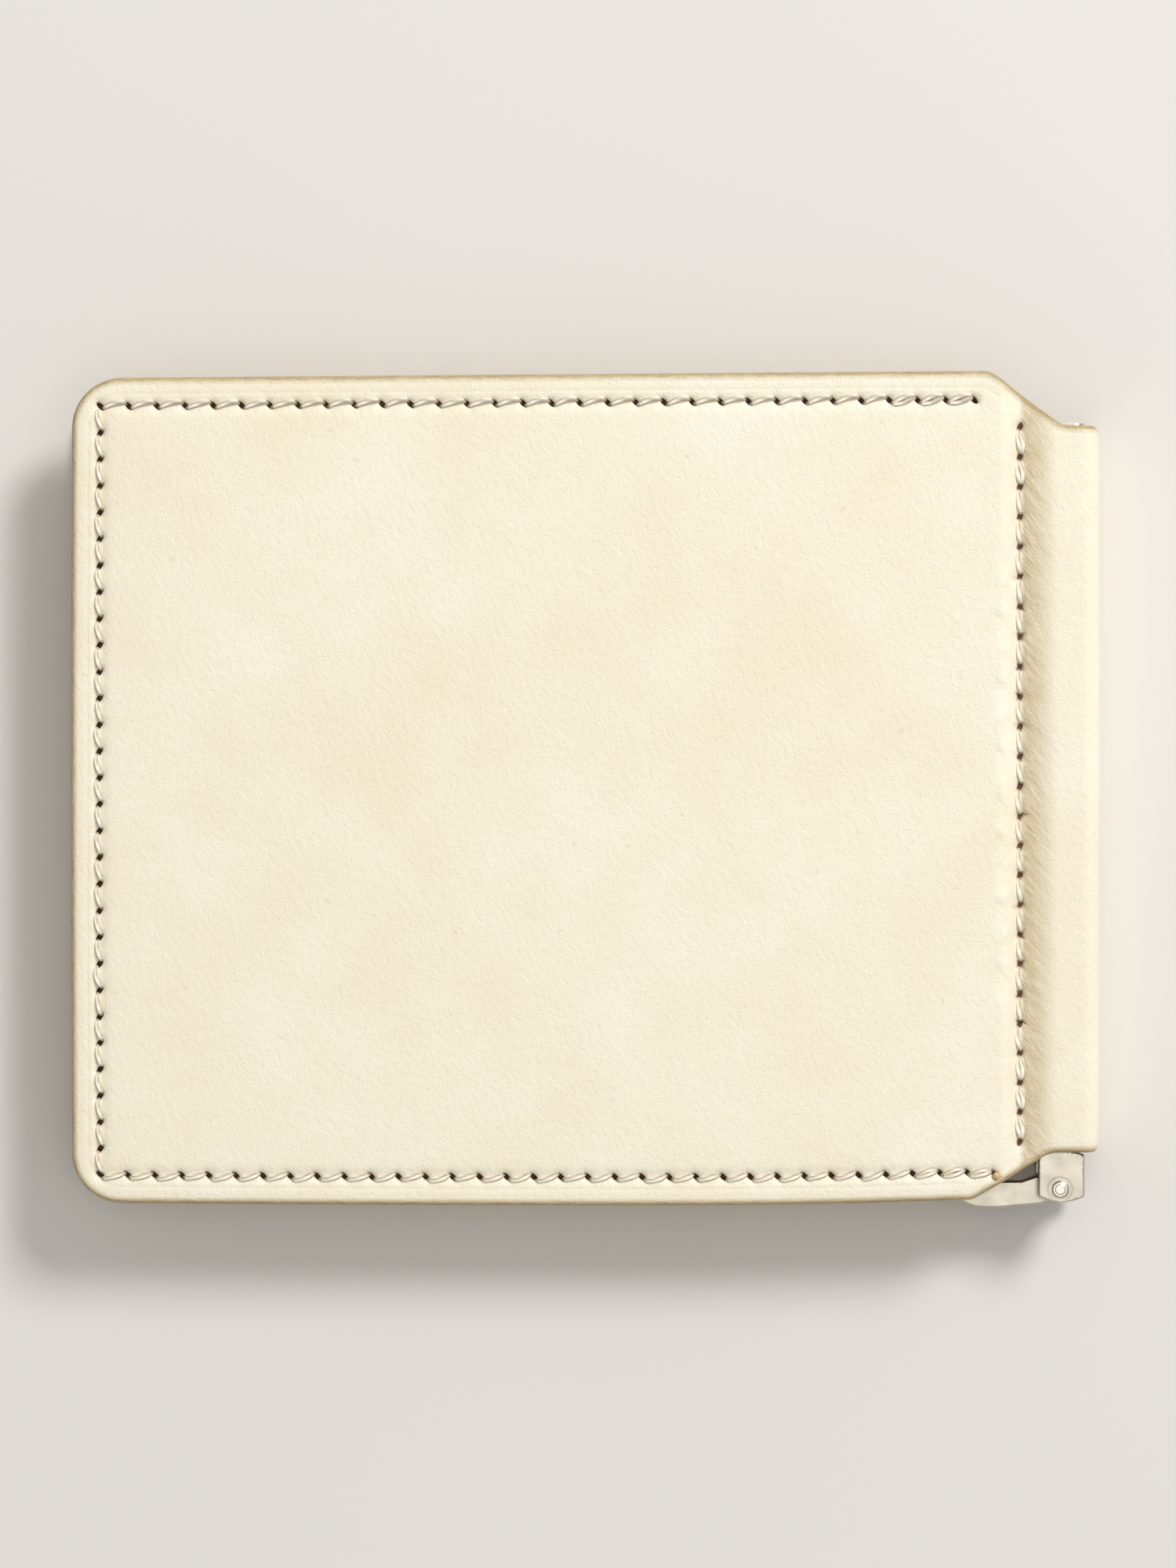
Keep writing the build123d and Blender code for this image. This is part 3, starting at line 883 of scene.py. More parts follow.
@dataclass(frozen=True)
class Slits:
    """Slanted awl slits: a pointed lens, with the leather drawn down round it by the thread."""

    centres: Array
    turns: Array
    half_length: float = 0.56
    half_width: float = 0.29
    depth: float = 0.8
    scales: tuple[float, ...] = (0.5, 0.82, 1.0, 1.22, 1.65, 2.15)
    spokes: int = 14

    def axes(self, scale: Array | float) -> tuple[Any, Any]:
        """Half length and half width of the ring at a scale. Outside the slit both grow alike.

        Args:
            scale: 1 at the slit's rim, less inside it and more outside.

        Returns:
            The half lengths and the half widths.
        """
        more = np.maximum(np.asarray(scale) - 1.0, 0.0) * 0.5
        less = np.minimum(np.asarray(scale), 1.0)
        return self.half_length * less + more, self.half_width * less + more

    def rings(self) -> Array:
        """Points on rings round each slit, and its centre.

        Returns:
            One row of x and y per point.
        """
        if not len(self.centres):
            return np.zeros((0, 2))
        angle = np.linspace(0, 2 * np.pi, self.spokes, endpoint=False)
        long, wide = self.axes(np.array(self.scales))
        local = np.stack([
            long[:, None] * np.cos(angle),
            wide[:, None] * np.sign(np.sin(angle)) * np.abs(np.sin(angle)) ** 1.25,
        ], -1).reshape(-1, 2)
        local = np.concatenate([[[0.0, 0.0]], local])
        across = np.stack([-self.turns[:, 1], self.turns[:, 0]], 1)
        return (
            self.centres[:, None, :]
            + local[None, :, :1] * self.turns[:, None, :]
            + local[None, :, 1:] * across[:, None, :]
        ).reshape(-1, 2)

    def scale_at(self, points: Array) -> Array:
        """The scale of the slit's ring through each point: below 1 inside a slit.

        Inside, it is the length of the point's place measured in half lengths and half widths.
        Outside, it grows by 1 for every half millimetre past the slit's rim.

        Args:
            points: The points to measure.

        Returns:
            One scale per point.
        """
        best = np.full(len(points), 9.0)
        for centre, turn in zip(self.centres, self.turns):
            near = np.abs(points - centre).max(1) < 2.0
            gap = points[near] - centre
            along = np.abs(gap @ turn)
            across = np.abs(gap @ np.array([-turn[1], turn[0]]))
            inside = np.hypot(along / self.half_length, across / self.half_width)
            rim = np.hypot(along, across) / np.maximum(inside, 1e-6)
            outside = 1.0 + (np.hypot(along, across) - rim) / 0.5
            best[near] = np.minimum(best[near], np.where(inside < 1.0, inside, outside))
        return best

    def relief(self, scale: Array) -> Array:
        """Depth of the leather at a scale: a steep-walled slit in a soft dimple.

        Args:
            scale: The scale of the slit's ring through each point.

        Returns:
            One height per point, negative where the leather is drawn down.
        """
        wall = -self.depth * (1.0 - smooth(scale, 0.72, 1.04))
        dimple = -0.2 * np.exp(-np.maximum(scale - 1.0, 0.0) / 0.6)
        return wall + dimple


# ---------------------------------------------------------------- leather sheets


@dataclass(frozen=True)
class Wrap:
    """A sheet's bend from its flat part down across the spine.

    Attributes:
        face: Level of the sheet's outer face before the bend.
        reach: x of the outer face after the bend.
        radius: Radius of the outer face in the bend.
    """

    face: float
    reach: float
    radius: float

    @property
    def start(self) -> float:
        """Where the bend starts."""
        return self.reach - self.radius

    @property
    def end(self) -> float:
        """The flat distance at which the sheet meets its mirror image at z = 0."""
        return self.start + self.radius * math.pi / 2 + self.face - self.radius

    def placed(self, flat: Array, level: Array) -> Array:
        """Points of the flat sheet, bent: x is carried round an arc and then straight down.

        Args:
            flat: Distance along the sheet and y.
            level: z that each point would have on the flat sheet.

        Returns:
            Points in the working frame.
        """
        along = flat[:, 0]
        angle = np.clip((along - self.start) / self.radius, 0, math.pi / 2)
        spoke = self.radius - (self.face - level)
        past = np.maximum(along - self.start - self.radius * math.pi / 2, 0.0)
        bent_x = self.start + spoke * np.sin(angle)
        bent_z = self.face - self.radius + spoke * np.cos(angle) - past
        bends = along > self.start
        return np.stack([np.where(bends, bent_x, along), flat[:, 1], np.where(bends, bent_z, level)], 1)


def pressed(along: Array, level: Array) -> Array:
    """Layers drawn together by the spine seam: at the seam their levels shrink towards the middle.

    The inner face moves in by 0.4 mm and the stack keeps 0.77 of its thickness, rising smoothly
    from nothing two millimetres inside the seam.

    Args:
        along: Distance along the sheet from the seam.
        level: z that each point would have away from the seam.

    Returns:
        The pressed levels.
    """
    share = smooth(along, -2.1, -0.1)
    inner = 2.3
    return inner - 0.4 * share + (level - inner) * (1 - 0.227 * share)


@dataclass
class Sheet:
    """A cut leather sheet with rolled rims and sewn slits, on one half of the wallet.

    The detailed face is a Delaunay triangulation of rings round each slit, a fine grid along the
    seams and a coarse grid elsewhere. The rim is half an ellipse carried round the outline.

    Attributes:
        corners: The flat outline: x, y and radius of each corner, anticlockwise.
        level: z of the detailed face.
        thickness: Of the leather.
        facing: 1 where the detailed face looks out of the wallet, -1 where it looks in.
        slits: The slits that show.
        runs: The seams that press a groove into it.
        wrap: The bend across the spine, if the sheet has one.
        fold_pitch: Spacing of the columns of points across that bend.
        coarse_end: x where the coarse points stop before that bend.
        fold_first: x of the bend's first column.
        band_reach: How far the fine points reach from a seam.
        band_clear: How far the coarse points stay from a seam.
    """

    corners: Array
    level: float
    thickness: float
    facing: int
    slits: Slits
    runs: list[Run]
    wrap: Wrap | None = None
    rim_round: float = 0.3
    rim_steps: int = 6
    coarse: float = 2.2
    fine: float = 0.36
    fold_pitch: float = 0.36
    coarse_end: float = -3.4
    fold_first: float = -3.2
    band_reach: float = 1.45
    band_clear: float = 1.65
    groove: float = 0.2
    crown: float = 0.0
    struck: bool = False
    crease: float = 1.75
    seed: float = 0.0

    def rim(self) -> tuple[Array, Array]:
        """The outline and the way each of its points moves when it is inset.

        On the line where a bent sheet meets its mirror image, the points keep their place along the
        sheet and only draw together along y.

        Returns:
            The outline's points and their outward normals, which on that line only draw along y.
        """
        outline = rounded_outline(self.corners, 0.45)
        normals = outward(outline)
        if self.wrap is not None:
            joint = outline[:, 0] > self.wrap.end - 1e-6
            middle = (outline[joint, 1].max() + outline[joint, 1].min()) / 2
            half = (outline[joint, 1].max() - outline[joint, 1].min()) / 2
            normals[joint] = np.stack([np.zeros(joint.sum()), (outline[joint, 1] - middle) / half], 1)
        return outline, normals

    def inner_points(self, edge: Array, normals: Array, detailed: bool) -> Array:
        """Points inside the rim: coarse, finer in the fold and along seams, and rings round slits.

        Args:
            edge: The outline's inset points.
            normals: The outline's outward normals.
            detailed: Whether this is the face that shows the slits.

        Returns:
            The points.
        """
        low, high = edge.min(0), edge.max(0)
        x, y = (low[0], high[0]), (low[1], high[1])
        points = grid(x, y, (self.coarse, self.coarse))
        if self.wrap is not None:
            points = points[points[:, 0] < self.coarse_end]
            columns = np.arange(self.fold_first, x[1], self.fold_pitch)
            rows = np.arange(y[0], y[1], 1.0 if detailed or self.fold_pitch < 0.3 else 2.0)
            folded = np.stack(np.meshgrid(columns, rows), -1).reshape(-1, 2)
            points = np.concatenate([points, folded])
        if detailed and self.runs:
            apart = distance_to_runs(points, self.runs)
            band = grid(x, y, (self.fine, self.fine))
            band = band[distance_to_runs(band, self.runs) < self.band_reach]
            points = np.concatenate([points[apart > self.band_clear], band])
            if self.struck:
                depth = depth_inside(points, edge, normals) + self.rim_round
                lines = [edge - normals * (self.crease + shift - self.rim_round)
                         for shift in (-0.3, -0.15, 0.0, 0.15, 0.3)]
                lines = np.concatenate(lines)
                lines = lines[lines[:, 0] < -2.0]
                near = (np.abs(depth - self.crease) < 0.45) & (points[:, 0] < -1.8)
                points = np.concatenate([points[~near], lines])
            points = points[self.slits.scale_at(points) > self.slits.scales[-1] + 0.25]
            points = np.concatenate([points, self.slits.rings()])
        inside = depth_inside(points, edge, normals) > 0.2
        return points[inside]

    def relief(self, flat: Array, depth: Array) -> Array:
        """Height of the detailed face over its level: crown, seam groove and slits.

        Args:
            flat: Points of the flat sheet.
            depth: How far each lies inside the outline.

        Returns:
            One height per point.
        """
        height = -self.crown * np.exp(-depth / 3.2)
        if self.runs:
            height = height - self.groove * bell(distance_to_runs(flat, self.runs), 0.62)
            height = height + self.slits.relief(self.slits.scale_at(flat))
        return height

    def levels(self, flat: Array, depth: Array) -> tuple[Array, Array]:
        """z of the detailed face and of the other face.

        Args:
            flat: Points of the flat sheet.
            depth: How far each lies inside the outline.

        Returns:
            The two levels of each point.
        """
        deepest = 0.15 - self.thickness
        face = self.level + self.facing * np.maximum(self.relief(flat, depth), deepest)
        other = np.full(len(flat), self.level - self.facing * self.thickness)
        return pressed(flat[:, 0], face), pressed(flat[:, 0], other)

    def marks(self, flat: Array, rim: Array, detailed: bool) -> dict[str, Array]:
        """The named values that the leather's finish reads.

        Args:
            flat: Points of the flat sheet.
            rim: How far round the rolled rim each point is, from 0 to 1.
            detailed: Whether the sheet has a face that shows slits.

        Returns:
            The values of each point, by name.
        """
        # Mask of the painted shade inside each slit.
        slit = np.zeros(len(flat))
        if detailed and len(self.slits.centres):
            slit = 1.0 - smooth(self.slits.scale_at(flat), 0.8, 1.06)
        # A plain sheet has no fold band, so no wrinkles or painted shade.
        fold_wrinkles_and_shade = np.zeros(len(flat))
        return {"rim": rim, "slit": slit, "fold_wrinkles_and_shade": fold_wrinkles_and_shade}

    def surface(self, side: Side) -> Surface:
        """The whole sheet in the working frame.

        Args:
            side: The half, which decides where the grain continues past the spine.

        Returns:
            A closed surface drawn for the front half.
        """
        outline, normals = self.rim()
        inset = outline - normals * self.rim_round
        top_points = self.inner_points(inset, normals, True)
        base_points = self.inner_points(inset, normals, False)
        top_faces = triangulate(inset, top_points)
        base_faces = triangulate(inset, base_points)
        free = np.linalg.norm(normals, axis=1) > 0.99
        count = len(outline)

        angle = np.linspace(0, np.pi, self.rim_steps + 1)
        rings = outline[None] - normals[None] * (self.rim_round * (1 - np.sin(angle)))[:, None, None]
        turn = np.repeat(np.cos(angle), count)
        flat = np.concatenate([rings.reshape(-1, 2), top_points, base_points])
        depth = np.maximum(depth_inside(flat, outline[free], normals[free]), 0.0)
        face, other = self.levels(flat, depth)
        side_turn = np.concatenate([turn, np.ones(len(top_points)), -np.ones(len(base_points))])
        level = (face + other) / 2 + (face - other) / 2 * side_turn

        top_start = (self.rim_steps + 1) * count
        top_index = np.concatenate([np.arange(count), top_start + np.arange(len(top_points))])
        base_start = top_start + len(top_points)
        base_index = np.concatenate([
            self.rim_steps * count + np.arange(count), base_start + np.arange(len(base_points)),
        ])
        rolled_faces = quads(self.rim_steps + 1, count)[:, ::-1]
        faces = [top_index[top_faces], rolled_faces, base_index[base_faces][:, ::-1]]

        flat_count = len(top_points) + len(base_points)
        rolled = np.concatenate([np.repeat(np.sin(angle), count), np.zeros(flat_count)])
        rim = smooth(rolled, 0.05, 0.75)
        on_top = np.concatenate([
            turn > 0.9, np.ones(len(top_points), bool), np.zeros(len(base_points), bool),
        ])
        values = self.marks(flat, rim, True)
        # The painted slit shade goes only on the face that shows the slits.
        values["slit"] = values["slit"] * on_top
        along = flat[:, 0].copy()
        placed = np.stack([flat[:, 0], flat[:, 1], level], 1)
        if self.wrap is not None:
            placed = self.wrap.placed(flat, level)
            if side is Side.BACK:
                along = 2 * self.wrap.end - along
        under = (1 - side_turn) / 2 * self.thickness + self.seed
        if self.wrap is None and side is Side.BACK:
            under = under + 40.0
        values["flat"] = np.stack([along, flat[:, 1], under], 1)
        made = Surface(LAYOUT.bowed(placed), faces, values)
        return made if self.facing > 0 else made.flipped()


@dataclass
class CoverSheet(Sheet):
    """The outer leather of one half, from the free edge to the middle of the spine."""

    valley: float = 4.45

    def profile(self, along: Array) -> Array:
        """Level of the outer face across the spine seam: a shoulder, a valley and a plateau.

        Args:
            along: Distance along the sheet from the seam.

        Returns:
            One level per point.
        """
        tunnel = LAYOUT.tunnel_face
        shoulder = self.level - (self.level - self.valley) * smooth(along, -2.0, -0.15)
        rise = self.valley + (tunnel - self.valley) * smooth(along, 0.25, 3.9)
        return np.where(along < 0.05, shoulder, rise)

    def relief(self, flat: Array, depth: Array) -> Array:
        """The sheet's relief, with a faint crease struck parallel to the sewn edges.

        Args:
            flat: Points of the flat sheet.
            depth: How far each lies inside the outline.

        Returns:
            One height per point.
        """
        height = super().relief(flat, depth)
        panel = 1.0 - smooth(flat[:, 0], -3.0, -1.0)
        return height - 0.05 * bell(depth - self.crease, 0.16) * panel

    def groove_floor(self, flat: Array) -> Array:
        """z of the seam's groove away from the slits."""
        return self.profile(flat[:, 0]) - self.crown * math.exp(-3.0 / 3.2) - self.groove

    def levels(self, flat: Array, depth: Array) -> tuple[Array, Array]:
        """z of the outer face and of the flesh side, which is skived under the seam.

        Args:
            flat: Points of the flat sheet.
            depth: How far each lies inside the outline.

        Returns:
            The two levels of each point.
        """
        along = flat[:, 0]
        profile = self.profile(along)
        face = profile + self.relief(flat, depth)
        skived = np.where(along < -4.0, self.level - self.thickness, self.level - self.thickness + 0.42)
        tunnel = profile - 0.75 - (self.thickness - 0.75) * smooth(along, 2.6, 3.8)
        other = np.where(along < 0.0, pressed(along, skived), tunnel)
        return np.maximum(face, other + 0.12), other

    def marks(self, flat: Array, rim: Array, detailed: bool) -> dict[str, Array]:
        """The finish's values, with the band between the seam and the tunnel that gets wrinkles and painted
        shade.

        Args:
            flat: Points of the flat sheet.
            rim: How far round the rolled rim each point is, from 0 to 1.
            detailed: Whether the sheet has a face that shows slits.

        Returns:
            The values of each point, by name.
        """
        marks = super().marks(flat, rim, detailed)
        along = flat[:, 0]
        # The fold band: where the wrinkles are raised and painted shade is laid, from the seam to the
        # plateau.
        marks["fold_wrinkles_and_shade"] = smooth(along, 0.0, 0.6) * (1 - smooth(along, 0.9, 4.2))
        return marks


@dataclass(frozen=True)
class Stitches:
    """Saddle stitches: each leaves one slit by its edgeward end and enters the next by the other."""

    radius: float = 0.28
    bulge: float = 0.2
    doubled_bulge: float = 0.25
    sink: float = 0.05
    dive: float = 0.62
    uneven: float = 0.05
    seed: int = 7
    samples: int = 9
    sides: int = 6

    def tubes(self, starts: Array, ends: Array, bow: Array, facing: int, scorch: Array) -> Surface:
        """Short tubes whose ends dive into the leather.

        A tube's middle line runs from start to end and bows sideways by four times the share of
        the way times what is left of it. It dips with the seventh power of the distance from its
        middle, and the tube thins there.

        Args:
            starts: Where each stitch leaves the leather: x, y and z.
            ends: Where it goes back in.
            bow: How far each bows, as a vector of x and y.
            facing: 1 on an outer face, -1 on an inner face.
            scorch: How tan each stitch is.

        Returns:
            All tubes as one surface.
        """
        share = np.linspace(0, 1, self.samples)[None, :, None]
        from_middle = np.abs(2 * share - 1)
        middle = starts[:, None, :] * (1 - share) + ends[:, None, :] * share
        middle[..., :2] += 4 * share * (1 - share) * bow[:, None, :]
        middle[..., 2:] -= facing * self.dive * from_middle ** 7
        along = np.gradient(middle, axis=1)
        along /= np.linalg.norm(along, axis=2, keepdims=True)
        across = np.cross(along, np.array([0.0, 0.0, 1.0]))
        across /= np.linalg.norm(across, axis=2, keepdims=True)
        over = np.cross(across, along)
        angle = np.linspace(0, 2 * np.pi, self.sides, endpoint=False)
        size = (self.radius * (1 - 0.4 * from_middle ** 5))[..., None]
        ring = middle[:, :, None, :] + size * (
            across[:, :, None, :] * np.cos(angle)[:, None] + over[:, :, None, :] * np.sin(angle)[:, None]
        )
        count, per = len(starts), self.samples * self.sides
        first = (np.arange(count) * per)[:, None, None]
        around = (first + quads(self.samples, self.sides)[None, :, ::-1]).reshape(-1, 4)
        cap = np.arange(self.sides)
        caps = np.concatenate([first[:, 0] + cap, first[:, 0] + per - 1 - cap])
        length = np.linalg.norm(ends - starts, axis=1)[:, None, None]
        way = np.broadcast_to(length * share[..., 0][:, :, None], (count, self.samples, self.sides))
        turn = np.broadcast_to(angle, way.shape)
        twist = np.stack([np.cos(2 * turn), np.sin(2 * turn), way], -1).reshape(-1, 3)
        values = {"twist": twist, "scorch": np.repeat(scorch, per)}
        return Surface(ring.reshape(-1, 3), [around, caps], values)

    def sewn(self, run: Run, level_at: Callable[[Array], Array], facing: int, reach: float) -> Surface:
        """The stitches of one run on one face, with its doubled ends.

        Args:
            run: The seam.
            level_at: Gives the groove floor's level at points on the face.
            facing: 1 on an outer face, -1 on an inner face.
            reach: From a slit's centre to the thread's place in it.

        Returns:
            The stitches.
        """
        count = len(run.holes) - 1
        shift = np.random.default_rng(self.seed + count).normal(0.0, self.uneven, (3, count, 2))
        starts = run.holes[:-1] + run.slit * reach + shift[0]
        ends = run.holes[1:] - run.slit * reach + shift[1]
        order = np.arange(count)
        twice = (order < run.doubled[0]) | (order >= count - run.doubled[1])
        bulge = np.where(twice, self.doubled_bulge, self.bulge)[:, None] * run.edgeward
        bow = np.concatenate([bulge + shift[2], -bulge[twice]])
        starts = np.concatenate([starts, starts[twice]])
        ends = np.concatenate([ends, ends[twice]])
        lift = facing * (self.radius - self.sink)
        raised = [np.column_stack([flat, level_at(flat) + lift - facing * self.radius * 0.45])
                  for flat in (starts, ends)]
        tubes = self.tubes(raised[0], raised[1], bow, facing, np.zeros(len(starts)))
        tubes.points = LAYOUT.bowed(tubes.points)
        return tubes

    def melted_end(self, place: Array, level: float) -> Surface:
        """The bead where a thread's end was cut and melted.

        Args:
            place: x and y.
            level: z of the leather there.

        Returns:
            The bead.
        """
        angle = np.linspace(0, np.pi, 7)
        profile = np.stack([0.4 * np.sin(angle), level + 0.26 * np.cos(angle)], 1)
        bead = revolved(profile, place, 12)
        bead.points = LAYOUT.bowed(bead.points)
        bead.values = {"twist": np.zeros((len(bead.points), 3)), "scorch": np.ones(len(bead.points))}
        return bead


# ---------------------------------------------------------------- the sewn halves


@dataclass
class OuterCover:
    """The outer leather: one real piece of hide, made here as two halves that meet at the fold."""

    thickness: float = 1.4
    fold_radius: float = 1.8
    corner: float = 5.2
    top_cut: tuple[float, float] = (-3.3, 4.6)
    bottom_cut: tuple[float, float] = (-5.1, 3.1)
    cut_corner: float = 2.0
    crown: float = 0.25
    overhang: float = 0.35
    fold_reach: tuple[float, float] = (0.0, 6.0)
    rim_round: float = 0.85

    def sheet(self) -> CoverSheet:
        """The cover of one half, from the free edge to the middle of the spine.

        Returns:
            The sheet.
        """
        wrap = Wrap(LAYOUT.tunnel_face, LAYOUT.spine, self.fold_radius)
        tunnel_end = LAYOUT.tunnel_end - self.overhang
        corners = np.array([
            (LAYOUT.left, LAYOUT.bottom, self.corner),
            (self.bottom_cut[0], LAYOUT.bottom, self.cut_corner),
            (self.bottom_cut[1], tunnel_end, self.cut_corner),
            (wrap.end, tunnel_end, 0.0),
            (wrap.end, LAYOUT.mouth, 0.0),
            (self.top_cut[1], LAYOUT.mouth, self.cut_corner),
            (self.top_cut[0], LAYOUT.top, self.cut_corner),
            (LAYOUT.left, LAYOUT.top, self.corner),
        ])
        return CoverSheet(
            corners, LAYOUT.panel_face, self.thickness, 1, Slits(*SEAMS.slits()), SEAMS.runs(),
            wrap=wrap, rim_round=self.rim_round, rim_steps=8, crown=self.crown, struck=True,
        )

    def build(self, side: Side) -> None:
        """Makes the cover of one half and its visible stitches.

        Args:
            side: The half.
        """
        sheet = self.sheet()
        piece = add_piece(f"outer_{side.word}", sheet.surface(side), OUTER_LEATHER, side)
        start, end = (((LAYOUT.seam + reach) * MM, 0, 0) for reach in self.fold_reach)
        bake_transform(piece)
        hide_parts(f"{side.word}_cover")
        if side is Side.FRONT:
            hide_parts("spine_cover")
        for word, run in zip(("top", "side", "bottom", "spine"), sheet.runs):
            stitches = Stitches(radius=0.33) if word == "spine" else Stitches()
            made = [stitches.sewn(run, sheet.groove_floor, 1, sheet.slits.half_length * 0.7)]
            if word == "bottom":
                end = run.holes[-1] + np.array([0.25, -0.2])
                made.append(stitches.melted_end(end, float(sheet.groove_floor(end[None])[0]) + 0.05))
            thread = add_piece(f"outer_stitches_{word}_{side.word}", joined(made), THREAD, side)
            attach(thread, side.body)
            node = "spine_thread" if word == "spine" else "perimeter_thread"
            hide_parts(f"{side.word}_{node}")


@dataclass
class Interior:
    """The suede lining, the three card pockets that step up it, and the stitches on them."""

    corner: float = 5.2
    seam_margin: float = 0.8
    edge_insets: tuple[float, ...] = (0.22, 0.12, 0.2, 0.1)
    names: tuple[str, ...] = ("lining", "upper_pocket", "middle_pocket", "lower_pocket")

    def outline(self, node: str, inset: float) -> Array:
        """The corners of one layer, with the slanting cut where it reaches the tunnel's mouth.

        Args:
            node: The layer's CAD node.
            inset: How far its free edges lie inside the cover's.

        Returns:
            One row of x, y and radius per corner.
        """
        low, high = (np.array(corner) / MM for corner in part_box(node))
        right = high[0] - LAYOUT.seam - self.seam_margin
        cover = OuterCover()
        share = (right - cover.bottom_cut[0]) / (cover.bottom_cut[1] - cover.bottom_cut[0])
        bottom_meet = LAYOUT.bottom + share * (LAYOUT.tunnel_end - LAYOUT.bottom)
        rows = [
            (LAYOUT.left + inset, LAYOUT.bottom + inset, self.corner - inset),
            (cover.bottom_cut[0], LAYOUT.bottom + inset, 1.6),
            (right - 0.1, bottom_meet + inset, 0.6),
        ]
        if high[1] < LAYOUT.mouth:
            rows += [(right - 0.1, high[1], 0.6), (LAYOUT.left + inset, high[1], 0.6)]
        else:
            share = (right - cover.top_cut[0]) / (cover.top_cut[1] - cover.top_cut[0])
            top_meet = LAYOUT.top - share * (LAYOUT.top - LAYOUT.mouth)
            rows += [
                (right - 0.1, top_meet - inset, 0.6),
                (cover.top_cut[0], LAYOUT.top - inset, 1.6),
                (LAYOUT.left + inset, LAYOUT.top - inset, self.corner - inset),
            ]
        return np.array(rows)

    def tops(self) -> Array:
        """The heights of the layers' top edges, lining first."""
        return np.array([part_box(f"front_{name}")[1].y / MM for name in self.names])

    def level_at(self, points: Array) -> Array:
        """z of the innermost layer at points, drawn together at the spine seam.

        Args:
            points: Points in the plane.

        Returns:
            One level per point.
        """
        level = np.full(len(points), LAYOUT.level("front_lining")[0])
        for name, top in zip(self.names[1:], self.tops()[1:]):
            level = np.where(points[:, 1] < top, LAYOUT.level(f"front_{name}")[0], level)
        return pressed(points[:, 0], level) + 0.08

    def build(self, side: Side) -> None:
        """Makes one half's lining, pockets and inner stitches.

        Args:
            side: The half.
        """
        centres, turns = SEAMS.slits()
        tops = self.tops()
        over = [tops[1], tops[2], tops[3], LAYOUT.bottom - 1]
        for name, inset, top, under in zip(self.names, self.edge_insets, tops, over):
            node = f"front_{name}"
            low, high = LAYOUT.level(node)
            shown = (centres[:, 1] > under) & (centres[:, 1] < top)
            runs = [
                Run(run.holes[(run.holes[:, 1] > under - 2) & (run.holes[:, 1] < top)], run.slant)
                for run in SEAMS.runs()
            ]
            runs = [run for run in runs if len(run.holes) > 1]
            slits = Slits(centres[shown], turns[shown], depth=0.35)
            sheet = Sheet(
                self.outline(node, inset), low, high - low, -1, slits, runs,
                rim_round=0.2, rim_steps=5, coarse=3.0, groove=0.07, seed=10.0 * tops[0] + top,
            )
            finish, slot = (POCKET_LEATHER, "pocket_leather")
            if name == "lining":
                finish, slot = (LINING_SUEDE, "lining_suede")
            piece = add_piece(f"{name}_{side.word}", sheet.surface(side), finish, side)
            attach(piece, side.body)
            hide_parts(f"{side.word}_{name}")
        stitches = Stitches()
        made = [stitches.sewn(run, self.level_at, -1, 0.3) for run in SEAMS.runs()]
        thread = add_piece(f"inner_stitches_{side.word}", joined(made), THREAD, side)
        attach(thread, side.body)


@dataclass
class TunnelLiner:
    """The thin strip that closes the tunnel towards the inside: wings under the covers and a bridge."""

    thickness: float = 0.4
    fold_radius: float = 0.8
    reach: float = 2.4
    fold_reach: tuple[float, float] = (0.6, 1.95)

    def build(self, side: Side) -> None:
        """Makes one half of the strip.

        Args:
            side: The half.
        """
        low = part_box("front_liner_wing")[0].x / MM - LAYOUT.seam
        face = LAYOUT.level("front_liner_wing")[1]
        wrap = Wrap(float(pressed(np.array([0.0]), np.array([face]))[0]), self.reach, self.fold_radius)
        corners = np.array([
            (low, LAYOUT.tunnel_end, 0.5), (wrap.end, LAYOUT.tunnel_end, 0.0),
            (wrap.end, LAYOUT.mouth, 0.0), (low, LAYOUT.mouth, 0.5),
        ])
        empty = Slits(np.zeros((0, 2)), np.zeros((0, 2)))
        sheet = Sheet(
            corners, face, self.thickness, 1, empty, [], wrap=wrap, rim_round=0.15, rim_steps=5,
            fold_pitch=0.12,
        )
        piece = add_piece(
            f"tunnel_liner_{side.word}", sheet.surface(side), POCKET_LEATHER, side
        )
        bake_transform(piece)
        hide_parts(f"{side.word}_liner_wing")
        if side is Side.FRONT:
            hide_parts("spine_liner")


# ---------------------------------------------------------------- metal


@dataclass
class PivotRivet:
    """The peened rivet: a shank between two domed heads."""

    radius: float = 0.6
    head: float = 0.88
    height: float = 0.36
    ring: float = 0.68
    ring_depth: float = 0.06

    def build(self) -> None:
        """Makes the rivet: a profile of a head, the shank and the other head, turned.

        A head's height is the root of 1 less the eighth power of the share of the radius, so it is
        nearly flat with a round shoulder, less a bell-shaped ring where the peening tool stopped.
        """
        face = LAYOUT.level("spine_rail")[1]
        share = np.concatenate([np.linspace(0, 0.86, 12), 1 - 0.14 * (1 - np.linspace(0.2, 1, 8)) ** 2])
        rise = self.height * (1 - share ** 8) ** 0.5 - self.ring_depth * bell(share - self.ring, 0.07)
        dome = np.stack([self.head * share, face + rise], 1)
        upper = np.concatenate([dome, [(self.radius, face)]])
        profile = np.concatenate([upper, upper[::-1] * (1, -1)])
        surface = revolved(profile, np.array(LAYOUT.pivot))
        piece = add_piece("peened_rivet", surface, BRIGHT_NICKEL, sharp=60.0)
        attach(piece, "spine")
        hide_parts("pivot_rivet")


